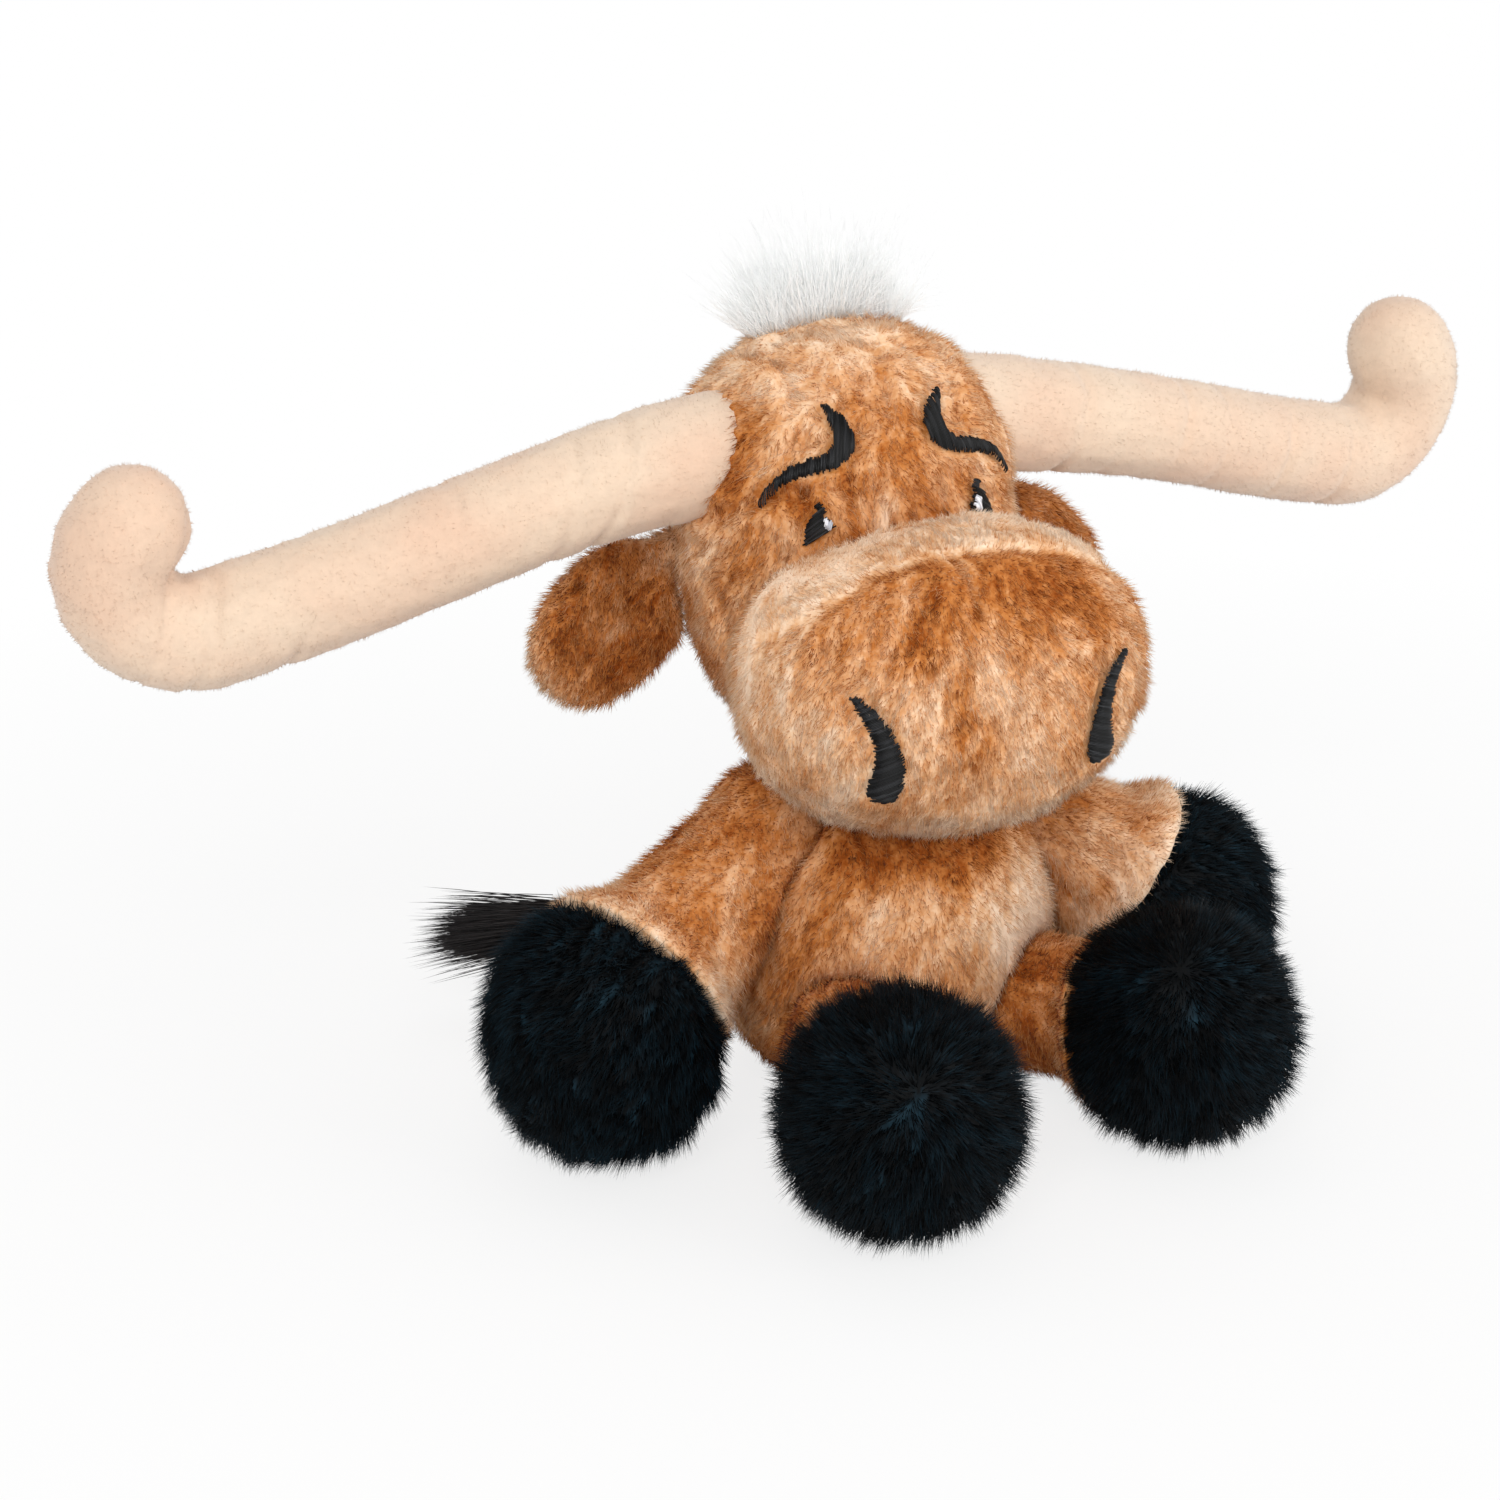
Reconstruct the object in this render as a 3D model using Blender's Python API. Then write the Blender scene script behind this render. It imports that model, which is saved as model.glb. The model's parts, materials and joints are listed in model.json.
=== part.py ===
"""A sitting plush longhorn bull, built from the sewn and stuffed pieces it is made of.

Metres, +Z up. The toy faces -Y and its left side is +X. The origin is on the table,
under the middle of the seat.
"""

import math

import bmesh
import bpy
from mathutils import Matrix, Vector

MM = 0.001

# Cloth, fits and cuts
COVER_WALL = 2.2 * MM
FIT_GAP = 0.3 * MM
SWING_GAP = 1.1 * MM
LIMB_GAP = 2.0 * MM
SOCKET_GAP = 0.75 * MM
CUT_OVERRUN = 6.0 * MM
SEAT_FLAT = 0.5 * MM
STITCH_HEIGHT = 1.2 * MM

# Torso: a pear whose top is a dome round the neck pivot
TORSO_WIDTH = 104.0 * MM
TORSO_DEPTH = 90.0 * MM
TORSO_BELLY_HEIGHT = 39.0 * MM
NECK_PIVOT_BACK = 8.0 * MM
NECK_PIVOT_HEIGHT = 70.0 * MM
NECK_DOME_RADIUS = 40.0 * MM
NECK_HOLE_RADIUS = 16.0 * MM
NECK_PLUG_DEPTH = 18.0 * MM
DOME_EDGE_ANGLE = math.radians(60.0)
BELLY_CORNER_SHARE = 0.74

# Head: an egg behind the face, carried on the dome
HEAD_TURN = math.radians(-5.0)
HEAD_NOD = math.radians(-3.8)
HEAD_TILT = math.radians(-2.1)
HEAD_CENTRE_SIDE = 2.1 * MM
HEAD_CENTRE_BACK = 18.9 * MM
HEAD_CENTRE_RISE = 121.5 * MM
HEAD_WIDTH = 104.0 * MM
HEAD_DEPTH = 88.0 * MM
HEAD_TOP = 31.0 * MM
HEAD_BOTTOM = 94.0 * MM
HEAD_CORNER_SHARE = 0.74
HEAD_OUTLINE_SHARE = 0.82
# Height share from the middle, swell share of the width, forward lean share of the depth
HEAD_SWELL_SHARES = (
    (-1.00, 0.86, -0.06),
    (-0.50, 0.97, 0.02),
    (-0.10, 1.00, 0.06),
    (0.20, 0.98, 0.04),
    (0.60, 0.97, -0.02),
    (1.00, 0.95, -0.04),
)

# Muzzle: a deep oval pouch sewn over the lower face
MUZZLE_WIDTH = 121.0 * MM
MUZZLE_HEIGHT = 90.0 * MM
MUZZLE_DEPTH = 73.0 * MM
MUZZLE_FORWARD = 63.0 * MM
MUZZLE_DROP = 60.0 * MM
MUZZLE_CORNER_SHARE = 0.72
MUZZLE_OUTLINE_SHARE = 0.88
MUZZLE_TILT = math.radians(3.0)

# Horns: stuffed tubes that run out, droop and hook up at the end
HORN_REACH = 186.0 * MM
HORN_SWEEP = 20.0 * MM
HORN_DROP = 36.0 * MM
HOOK_BEND_RADIUS = 20.0 * MM
HOOK_TURN = math.radians(154.0)
HOOK_LEAN_SHARE = 0.28
HORN_ROOT_RADIUS = 19.5 * MM
HORN_ARM_RADIUS = 17.0 * MM
HORN_HOOK_RADIUS = 17.6 * MM
# Shares of the reach, the sweep and the drop along the arm of the horn, up to its hook
HORN_LINE_SHARES = (
    (0.13, -0.25, -0.06),
    (0.25, -0.22, 0.04),
    (0.44, -0.12, 0.22),
    (0.63, 0.06, 0.47),
    (0.83, 0.45, 0.78),
    (1.00, 0.85, 1.00),
)

# Ears: leaves of plush that hang below the horns
EAR_ROOT_OUT = 48.0 * MM
EAR_ROOT_BACK = 14.0 * MM
EAR_ROOT_DROP = 32.5 * MM
EAR_ROOT_RADIUS = 8.0 * MM
EAR_LENGTH = 58.0 * MM
EAR_WIDTH = 46.0 * MM
EAR_THICKNESS = 15.0 * MM
EAR_DROOP = math.radians(42.0)
EAR_CORNER_SHARE = 0.90

# Crown tuft: a wedge of long hair sewn in behind the face
CROWN_WIDTH = 50.0 * MM
CROWN_DEPTH = 22.0 * MM
CROWN_HEIGHT = 50.0 * MM
CROWN_BACK = 8.0 * MM
CROWN_SIDE = 1.0 * MM

# Arms: a ball root in the shoulder, a sleeve that flares, and a hoof
SHOULDER_OUT = 36.0 * MM
SHOULDER_BACK = 8.0 * MM
SHOULDER_HEIGHT = 80.0 * MM
SHOULDER_RADIUS = 21.5 * MM
SLEEVE_NECK_RADIUS = 20.0 * MM
SLEEVE_CUFF_RADIUS = 28.0 * MM
HAND_WIDTH = 71.0 * MM
HAND_DEPTH = 74.0 * MM
HAND_HEIGHT = 79.0 * MM
RIGHT_HAND_OUT = 101.0 * MM
RIGHT_HAND_FORWARD = 15.0 * MM
LEFT_HAND_OUT = 88.0 * MM
LEFT_HAND_FORWARD = 17.0 * MM

# Legs: a ball root in the hip, a short tube, and a hoof
HIP_OUT = 32.5 * MM
HIP_FORWARD = 35.0 * MM
HIP_HEIGHT = 26.0 * MM
HIP_RADIUS = 22.5 * MM
LEG_NECK_RADIUS = 21.0 * MM
LEG_CUFF_RADIUS = 24.0 * MM
FOOT_WIDTH = 71.0 * MM
FOOT_DEPTH = 69.0 * MM
FOOT_HEIGHT = 71.0 * MM
RIGHT_FOOT_OUT = 50.0 * MM
LEFT_FOOT_OUT = 47.5 * MM
RIGHT_FOOT_FORWARD = 91.0 * MM
LEFT_FOOT_FORWARD = 82.0 * MM

# Limb shapes: how the cover flares, and how far short of the hoof's centre it ends, as a
# share of the hoof's depth. The ball root is closed by a small flat cap.
LIMB_FLARE_SHARE = 1.10
LIMB_END_SHARE = 0.25
ROOT_CAP_ANGLE = math.radians(12.0)
HOOF_CORNER_SHARE = 0.90

# Tail: a cord of plush that curves round to the right and ends in a tuft
TAIL_ROOT_BACK = 41.0 * MM
TAIL_ROOT_HEIGHT = 26.0 * MM
TAIL_ROOT_RADIUS = 9.0 * MM
TAIL_RADIUS = 6.5 * MM
TAIL_REACH = 88.0 * MM
TAIL_SWEEP = 46.0 * MM
TAIL_RISE = 4.0 * MM
TAIL_LINE_SHARES = (
    (0.00, 0.00, 0.00),
    (0.02, 0.40, 0.20),
    (0.14, 0.80, 0.50),
    (0.38, 1.00, 0.80),
    (0.66, 0.98, 0.95),
    (0.88, 0.88, 1.00),
)
TAIL_TUFT_LENGTH = 46.0 * MM
TAIL_TUFT_WIDTH = 25.0 * MM
TAIL_TUFT_BACK = 82.0 * MM
TAIL_TUFT_SIDE = 92.0 * MM
TAIL_TUFT_HEIGHT = 34.0 * MM
TAIL_TUFT_TURN = math.radians(-28.0)

# Embroidery outlines: outward and upward shares of each patch's width and height
BROW_SIDE = 25.4 * MM
BROW_RISE = 0.3 * MM
BROW_WIDTH = 29.2 * MM
BROW_HEIGHT = 28.4 * MM
BROW_SHARES = (
    (-0.22, 0.47), (-0.27, 0.50), (-0.33, 0.46), (-0.44, 0.35), (-0.50, 0.17), (-0.46, 0.01),
    (-0.36, -0.08), (-0.23, -0.14), (-0.06, -0.17), (0.15, -0.22), (0.29, -0.28), (0.39, -0.38),
    (0.47, -0.50), (0.50, -0.47), (0.42, -0.28), (0.31, -0.16), (0.17, -0.07), (0.00, -0.01),
    (-0.16, 0.02), (-0.25, 0.08), (-0.29, 0.18), (-0.27, 0.30),
)
EYE_SIDE = 24.9 * MM
EYE_DROP = 22.4 * MM
EYE_WIDTH = 10.4 * MM
EYE_HEIGHT = 15.0 * MM
# The outline ends at its top in the short lash stitch
EYE_SHARES = (
    (-0.11, 0.46), (-0.21, 0.49), (-0.18, 0.61), (-0.02, 0.70), (0.19, 0.59), (0.06, 0.53),
    (0.11, 0.50), (0.32, 0.37), (0.50, 0.09), (0.49, -0.10), (0.41, -0.30), (0.26, -0.50),
    (-0.01, -0.42), (-0.30, -0.28), (-0.50, -0.09), (-0.42, 0.11), (-0.34, 0.28),
)
GLINT_SIDE = 23.2 * MM
GLINT_DROP = 19.5 * MM
GLINT_WIDTH = 3.3 * MM
GLINT_HEIGHT = 8.7 * MM
GLINT_SHARES = (
    (0.50, 0.50), (-0.05, 0.35), (-0.50, 0.05), (-0.50, -0.28), (0.20, -0.50), (0.44, -0.21), (0.47, 0.17),
)
# Out from the middle, as a share of the muzzle's width
NOSTRIL_SIDE_SHARE = 0.2934
NOSTRIL_DROP = 68.2 * MM
NOSTRIL_WIDTH = 15.1 * MM
NOSTRIL_HEIGHT = 33.1 * MM
NOSTRIL_SHARES = (
    (0.50, 0.50), (0.24, 0.44), (0.00, 0.33), (-0.18, 0.21), (-0.33, 0.07), (-0.44, -0.07),
    (-0.50, -0.21), (-0.49, -0.38), (-0.37, -0.47), (-0.14, -0.50), (0.09, -0.47), (0.20, -0.37),
    (0.14, -0.26), (0.08, -0.12), (0.08, 0.01), (0.18, 0.17), (0.31, 0.30), (0.45, 0.42),
)

# Facets of the soft forms
AROUND_BODY = 18
ROWS_HEAD = 10
ROWS_MUZZLE = 8
AROUND_HOOF = 14
ROWS_HOOF = 8
AROUND_SMALL = 10
ROWS_SMALL = 7
AROUND_SOCKET = 17
ROWS_SOCKET = 11
AROUND_DOME = 22
ROWS_DOME = 14
AROUND_PLUG = 15
DOME_STEPS = 4
BREAST_STEPS = 3
BELLY_STEPS = 4
ROOT_STEPS = 3
LIMB_STEPS = 5
HORN_STEPS = 8
HOOK_STEPS = 7
TIP_STEPS = 3
HORN_RESOLUTION = 3
LIMB_RESOLUTION = 2
TAIL_RESOLUTION = 1
TAIL_STEPS = 9

# Mesh limits: a pole's radius and a weld's reach as shares, a tip's last ring and a block
# that outreaches the whole toy
POLE_SHARE = 1e-6
WELD_SHARE = 0.01
TIP_RING_SHARE = 0.35
TABLE_REACH_SHARE = 4.0

SIDES = (("right", -1.0), ("left", 1.0))


def clear_scene():
    for item in list(bpy.data.objects):
        bpy.data.objects.remove(item, do_unlink=True)


def make_collection(name):
    collection = bpy.data.collections.new(name)
    bpy.context.scene.collection.children.link(collection)
    return collection


def make_material(name, colour, roughness):
    material = bpy.data.materials.new(name)
    material.use_nodes = True
    shader = material.node_tree.nodes["Principled BSDF"]
    shader.inputs["Base Color"].default_value = (*colour, 1.0)
    shader.inputs["Roughness"].default_value = roughness
    shader.inputs["Metallic"].default_value = 0.0
    return material


def add_pivot(name, place, turn=(0.0, 0.0, 0.0), parent=None):
    pivot = bpy.data.objects.new(name, None)
    PARTS.objects.link(pivot)
    pivot.rotation_mode = "YXZ"
    pivot.parent = parent
    pivot.location = place
    pivot.rotation_euler = turn
    return pivot


def add_piece(name, shape, material, pivot):
    """A named solid. Its shape is given in the pivot's own axes."""
    mesh = bpy.data.meshes.new(name)
    shape.to_mesh(mesh)
    shape.free()
    mesh.materials.append(material)
    mesh.shade_smooth()
    piece = bpy.data.objects.new(name, mesh)
    PARTS.objects.link(piece)
    piece.parent = pivot
    return piece


def add_cutter(name, shape, pivot):
    mesh = bpy.data.meshes.new(name)
    shape.to_mesh(mesh)
    shape.free()
    cutter = bpy.data.objects.new(name, mesh)
    CUTTERS.objects.link(cutter)
    cutter.parent = pivot
    cutter.hide_render = True
    cutter.display_type = "WIRE"
    return cutter


def combine(piece, operation, *tools):
    for tool in tools:
        step = piece.modifiers.new(operation.lower() + "_" + tool.name, "BOOLEAN")
        step.operation = operation
        step.solver = "EXACT"
        step.object = tool


def offset(shape, distance):
    """Moves a closed skin outwards along its own normals, or inwards if negative."""
    shape.normal_update()
    for vert in shape.verts:
        vert.co += vert.normal * distance
    return shape


def between(table, key):
    """Reads a table of rows at one value of its first column, with eased steps."""
    if key <= table[0][0]:
        return table[0][1:]
    for low, high in zip(table, table[1:]):
        if key <= high[0]:
            part = (key - low[0]) / (high[0] - low[0])
            part = part * part * (3.0 - 2.0 * part)
            return tuple(a + (b - a) * part for a, b in zip(low[1:], high[1:]))
    return table[-1][1:]


def power(value, exponent):
    return math.copysign(abs(value) ** exponent, value)


def unit_ball(around, rows):
    shape = bmesh.new()
    bmesh.ops.create_uvsphere(shape, u_segments=around, v_segments=rows, radius=1.0)
    return shape


def plump(width, depth, height, around, rows, corner_share=1.0, outline_share=1.0, swell=None):
    """A stuffed ball: superellipsoid halves, with an optional table of swell and lean."""
    shape = unit_ball(around, rows)
    for vert in shape.verts:
        x, y, z = vert.co
        ring = math.hypot(x, y)
        up = power(z, corner_share)
        out = ring ** corner_share if ring > POLE_SHARE else 0.0
        flat_x = power(x / ring, outline_share) if ring > POLE_SHARE else 0.0
        flat_y = power(y / ring, outline_share) if ring > POLE_SHARE else 0.0
        fat, lean = between(swell, up) if swell else (1.0, 0.0)
        vert.co.x = flat_x * out * fat * width / 2.0
        vert.co.y = flat_y * out * fat * depth / 2.0 - lean * depth
        vert.co.z = up * height / 2.0
    return shape


def smooth_line(points, steps):
    """Points read at even steps from a smooth curve through the given ones."""
    count = len(points) - 1
    line = []
    for step in range(steps + 1):
        place = step * count / steps
        index = min(int(place), count - 1)
        t = place - index
        p1 = points[index]
        p2 = points[index + 1]
        p0 = points[index - 1] if index > 0 else p1 * 2.0 - p2
        p3 = points[index + 2] if index + 2 <= count else p2 * 2.0 - p1
        line.append(
            (p1 * 2.0 + (p2 - p0) * t + (p0 * 2.0 - p1 * 5.0 + p2 * 4.0 - p3) * t * t
             + (p1 * 3.0 - p0 - p2 * 3.0 + p3) * t * t * t) / 2.0
        )
    return line


def tube(line, radii, resolution):
    """A closed tube along a line of points, from a curve with one radius a point."""
    curve = bpy.data.curves.new("tube", "CURVE")
    curve.dimensions = "3D"
    curve.bevel_resolution = resolution
    curve.use_fill_caps = True
    curve.bevel_depth = max(radii)
    spline = curve.splines.new("POLY")
    spline.points.add(len(line) - 1)
    for point, place, radius in zip(spline.points, line, radii):
        point.co = (*place, 1.0)
        point.radius = radius / curve.bevel_depth
    holder = bpy.data.objects.new("tube", curve)
    bpy.context.scene.collection.objects.link(holder)
    bpy.context.view_layer.update()
    evaluated = holder.evaluated_get(bpy.context.evaluated_depsgraph_get())
    mesh = bpy.data.meshes.new_from_object(evaluated)
    shape = bmesh.new()
    shape.from_mesh(mesh)
    bpy.data.objects.remove(holder)
    bpy.data.curves.remove(curve)
    bpy.data.meshes.remove(mesh)
    bmesh.ops.remove_doubles(shape, verts=shape.verts, dist=min(radii) * WELD_SHARE)
    bmesh.ops.recalc_face_normals(shape, faces=shape.faces)
    return shape


def rounded_tip(line, radii, steps):
    """Closes a line of points with a half ball of falling radii."""
    end = line[-1]
    along = (end - line[-2]).normalized()
    radius = radii[-1]
    line = list(line)
    radii = list(radii)
    for step in range(1, steps + 1):
        angle = math.pi / 2.0 * step / (steps + TIP_RING_SHARE)
        line.append(end + along * radius * math.sin(angle))
        radii.append(radius * math.cos(angle))
    return line, radii


def placed(shape, place, turn=None):
    """Turns a shape about its own centre, then moves it."""
    matrix = Matrix.Translation(place)
    if turn:
        matrix = matrix @ turn
    bmesh.ops.transform(shape, matrix=matrix, verts=shape.verts)
    return shape


# Forms. Each takes how far its skin lies inside the outer one; a cutter is a grown form.

def torso_form(inset):
    """Dome rows round the neck pivot run into belly rows that end in a broad seat."""
    edge_height = NECK_PIVOT_HEIGHT + NECK_DOME_RADIUS * math.cos(DOME_EDGE_ANGLE)
    edge_width = NECK_DOME_RADIUS * math.sin(DOME_EDGE_ANGLE)
    start = math.asin(2.0 * edge_width / TORSO_WIDTH)
    above = (edge_height - TORSO_BELLY_HEIGHT) / math.cos(start)
    below = TORSO_BELLY_HEIGHT + SEAT_FLAT
    rows = []
    for row in range(DOME_STEPS + 1):
        angle = DOME_EDGE_ANGLE * row / DOME_STEPS
        ring = NECK_DOME_RADIUS * math.sin(angle)
        rows.append((NECK_PIVOT_HEIGHT + NECK_DOME_RADIUS * math.cos(angle), ring, ring, 1.0))
    for row in range(1, BREAST_STEPS + 1):
        angle = start + (math.pi / 2.0 - start) * row / BREAST_STEPS
        dome_part = 1.0 - row / BREAST_STEPS
        half_width = TORSO_WIDTH / 2.0 * math.sin(angle)
        depth = TORSO_DEPTH + (TORSO_WIDTH - TORSO_DEPTH) * dome_part
        half_depth = depth / 2.0 * math.sin(angle)
        rows.append((TORSO_BELLY_HEIGHT + above * math.cos(angle), half_width, half_depth, dome_part))
    for row in range(1, BELLY_STEPS + 1):
        angle = math.pi / 2.0 * row / BELLY_STEPS
        half = max(math.cos(angle), 0.0) ** BELLY_CORNER_SHARE
        drop = below * math.sin(angle) ** BELLY_CORNER_SHARE
        rows.append((TORSO_BELLY_HEIGHT - drop, TORSO_WIDTH / 2.0 * half, TORSO_DEPTH / 2.0 * half, 0.0))
    shape = unit_ball(AROUND_BODY, len(rows) - 1)
    for vert in shape.verts:
        row = round(math.acos(max(-1.0, min(1.0, vert.co.z))) / math.pi * (len(rows) - 1))
        height, half_width, half_depth, dome_part = rows[row]
        flat = vert.co.xy.normalized() if vert.co.xy.length > POLE_SHARE else vert.co.xy * 0.0
        vert.co.x = flat.x * half_width
        vert.co.y = flat.y * half_depth + NECK_PIVOT_BACK * dome_part
        vert.co.z = height
    return offset(shape, -inset)


def head_form(inset):
    shape = plump(HEAD_WIDTH, HEAD_DEPTH, HEAD_TOP + HEAD_BOTTOM, AROUND_BODY, ROWS_HEAD,
                  HEAD_CORNER_SHARE, HEAD_OUTLINE_SHARE, HEAD_SWELL_SHARES)
    placed(shape, HEAD_CENTRE + Vector((0.0, 0.0, (HEAD_TOP - HEAD_BOTTOM) / 2.0)))
    return offset(shape, -inset)


def muzzle_form(inset):
    shape = plump(MUZZLE_WIDTH, MUZZLE_HEIGHT, MUZZLE_DEPTH, AROUND_BODY, ROWS_MUZZLE,
                  MUZZLE_CORNER_SHARE, MUZZLE_OUTLINE_SHARE)
    turn = Matrix.Rotation(MUZZLE_TILT, 4, "Y") @ Matrix.Rotation(math.pi / 2.0, 4, "X")
    placed(shape, HEAD_CENTRE + Vector((0.0, -MUZZLE_FORWARD, -MUZZLE_DROP)), turn)
    return offset(shape, -inset)


def horn_form(side, inset):
    """The arm of the horn on a smooth line, then the hook as an arc turned up and in."""
    points = [
        HEAD_CENTRE + Vector((side * out * HORN_REACH, back * HORN_SWEEP, -drop * HORN_DROP))
        for out, back, drop in HORN_LINE_SHARES
    ]
    line = smooth_line(points, HORN_STEPS)
    radii = []
    for index in range(HORN_STEPS + 1):
        share = index / HORN_STEPS
        slim = HORN_ROOT_RADIUS + (HORN_ARM_RADIUS - HORN_ROOT_RADIUS) * min(1.0, 2.0 * share)
        full = (HORN_HOOK_RADIUS - HORN_ARM_RADIUS) * max(0.0, 2.0 * share - 1.0)
        radii.append(slim + full - inset)
    elbow = line[-1]
    along = (line[-1] - line[-2]).normalized()
    upward = Vector((0.0, -HOOK_LEAN_SHARE, 1.0))
    upward = (upward - along * upward.dot(along)).normalized()
    for step in range(1, HOOK_STEPS + 1):
        angle = HOOK_TURN * step / HOOK_STEPS
        line.append(elbow + (along * math.sin(angle) + upward * (1.0 - math.cos(angle))) * HOOK_BEND_RADIUS)
        radii.append(HORN_HOOK_RADIUS - inset)
    if inset > 0.0:
        line[0] -= (line[1] - line[0]).normalized() * CUT_OVERRUN
    line, radii = rounded_tip(line, radii, TIP_STEPS)
    return tube(line, radii, HORN_RESOLUTION)


def limb_form(root, end, ball, neck, cuff, inset, reach):
    """A ball root behind the joint, then a tube that flares from its neck to its cuff."""
    along = (end - root).normalized()
    line = []
    radii = []
    neck_place = math.sqrt(ball * ball - neck * neck)
    for step in range(ROOT_STEPS + 1):
        angle = ROOT_CAP_ANGLE + (math.pi / 2.0 - ROOT_CAP_ANGLE) * step / ROOT_STEPS
        line.append(root - along * (ball - inset) * math.cos(angle))
        radii.append((ball - inset) * math.sin(angle))
    for step in range(LIMB_STEPS + 1):
        place = neck_place + (reach - neck_place) * step / LIMB_STEPS
        share = step / LIMB_STEPS
        line.append(root + along * place)
        radii.append(neck + (cuff - neck) * share ** LIMB_FLARE_SHARE - inset)
    return tube(line, radii, LIMB_RESOLUTION)


def hoof_form(centre, width, depth, height, inset):
    shape = plump(width, depth, height, AROUND_HOOF, ROWS_HOOF, HOOF_CORNER_SHARE, HOOF_CORNER_SHARE)
    return offset(placed(shape, centre), -inset)


def ball_form(centre, radius, around=AROUND_SOCKET, rows=ROWS_SOCKET):
    return placed(plump(2.0 * radius, 2.0 * radius, 2.0 * radius, around, rows), centre)


def add_table_cut():
    """A block whose top is the table, to press flat what stands on it."""
    size = TABLE_REACH_SHARE * HORN_REACH
    block = bmesh.new()
    bmesh.ops.create_cube(block, size=size)
    placed(block, Vector((0.0, 0.0, -size / 2.0)))
    return add_cutter("table", block, None)


def patch(name, outline_shares, side, centre, width, height, host, material, pivot):
    """Satin stitch: an upright outline pushed through the layer just over its host's skin."""
    curve = bpy.data.curves.new(name, "CURVE")
    curve.dimensions = "2D"
    curve.fill_mode = "BOTH"
    curve.extrude = HEAD_DEPTH / 4.0
    spline = curve.splines.new("POLY")
    spline.use_cyclic_u = True
    spline.points.add(len(outline_shares) - 1)
    for point, (across, up) in zip(spline.points, outline_shares):
        point.co = (side * across * width, up * height, 0.0, 1.0)
    holder = bpy.data.objects.new(name, curve)
    bpy.context.scene.collection.objects.link(holder)
    bpy.context.view_layer.update()
    evaluated = holder.evaluated_get(bpy.context.evaluated_depsgraph_get())
    mesh = bpy.data.meshes.new_from_object(evaluated)
    shape = bmesh.new()
    shape.from_mesh(mesh)
    bpy.data.objects.remove(holder)
    bpy.data.curves.remove(curve)
    bpy.data.meshes.remove(mesh)
    bmesh.ops.remove_doubles(shape, verts=shape.verts, dist=STITCH_HEIGHT * WELD_SHARE)
    bmesh.ops.recalc_face_normals(shape, faces=shape.faces)
    placed(shape, centre, Matrix.Rotation(math.pi / 2.0, 4, "X"))
    piece = add_piece(name, shape, material, pivot)
    combine(piece, "INTERSECT", host["layer"])
    combine(piece, "DIFFERENCE", host["grown"])
    return piece


# Build

clear_scene()
PARTS = make_collection("plush_longhorn_bull")
CUTTERS = make_collection("cutters")

TAN = make_material("tan_plush", (0.62, 0.40, 0.21), 0.95)
CREAM = make_material("horn_velour", (0.90, 0.76, 0.63), 0.9)
BLACK_FUR = make_material("hoof_fur", (0.012, 0.016, 0.020), 0.85)
WHITE_HAIR = make_material("crown_hair", (0.85, 0.86, 0.85), 0.8)
BLACK_THREAD = make_material("black_thread", (0.010, 0.010, 0.012), 0.5)
WHITE_THREAD = make_material("white_thread", (0.80, 0.81, 0.84), 0.5)
FIBRE = make_material("fibre_filling", (0.88, 0.88, 0.86), 1.0)

NECK_PIVOT = Vector((0.0, NECK_PIVOT_BACK, NECK_PIVOT_HEIGHT))
HEAD_CENTRE = Vector((HEAD_CENTRE_SIDE, HEAD_CENTRE_BACK, HEAD_CENTRE_RISE))
FILLING_INSET = COVER_WALL + FIT_GAP

TABLE = add_table_cut()
torso_pivot = add_pivot("torso_seat", (0.0, 0.0, 0.0))
neck_pivot = add_pivot("neck_turn", NECK_PIVOT)
head_pivot = add_pivot("head_nod", NECK_PIVOT, (HEAD_NOD, HEAD_TILT, HEAD_TURN))


# Torso, its filling and the neck filling that stands in its top

torso = add_piece("torso_cover", torso_form(0.0), TAN, torso_pivot)
torso_inside = add_cutter("torso_inside", torso_form(COVER_WALL), torso_pivot)
torso_grown = add_cutter("torso_grown", torso_form(-FIT_GAP), torso_pivot)
torso_filling = add_piece("torso_filling", torso_form(FILLING_INSET), FIBRE, torso_pivot)


def neck_plug(radius, low, high):
    shape = bmesh.new()
    bmesh.ops.create_cone(
        shape, cap_ends=True, segments=AROUND_PLUG, radius1=radius, radius2=radius, depth=high - low
    )
    half_facet = Matrix.Rotation(math.pi / (2.0 * AROUND_PLUG), 4, "Z")
    return placed(shape, Vector((0.0, 0.0, (low + high) / 2.0)), half_facet)


plug_foot = NECK_DOME_RADIUS - NECK_PLUG_DEPTH
neck_hole = add_cutter(
    "neck_hole",
    neck_plug(
        (NECK_HOLE_RADIUS + FIT_GAP) / math.cos(math.pi / AROUND_PLUG),
        plug_foot - FIT_GAP,
        NECK_DOME_RADIUS + CUT_OVERRUN,
    ),
    neck_pivot,
)
dome_ball = add_cutter(
    "dome_ball", ball_form(Vector(), NECK_DOME_RADIUS, AROUND_DOME, ROWS_DOME), neck_pivot
)
dome_grown = add_cutter(
    "dome_grown",
    ball_form(Vector(), NECK_DOME_RADIUS + SWING_GAP, AROUND_DOME, ROWS_DOME),
    neck_pivot,
)
neck_filling = add_piece(
    "neck_filling",
    neck_plug(NECK_HOLE_RADIUS, plug_foot, NECK_DOME_RADIUS + CUT_OVERRUN),
    FIBRE,
    neck_pivot,
)
combine(neck_filling, "INTERSECT", dome_ball)
combine(torso, "DIFFERENCE", torso_inside, neck_hole, TABLE)
combine(torso_filling, "DIFFERENCE", neck_hole)


# Head, muzzle and their fillings

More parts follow.
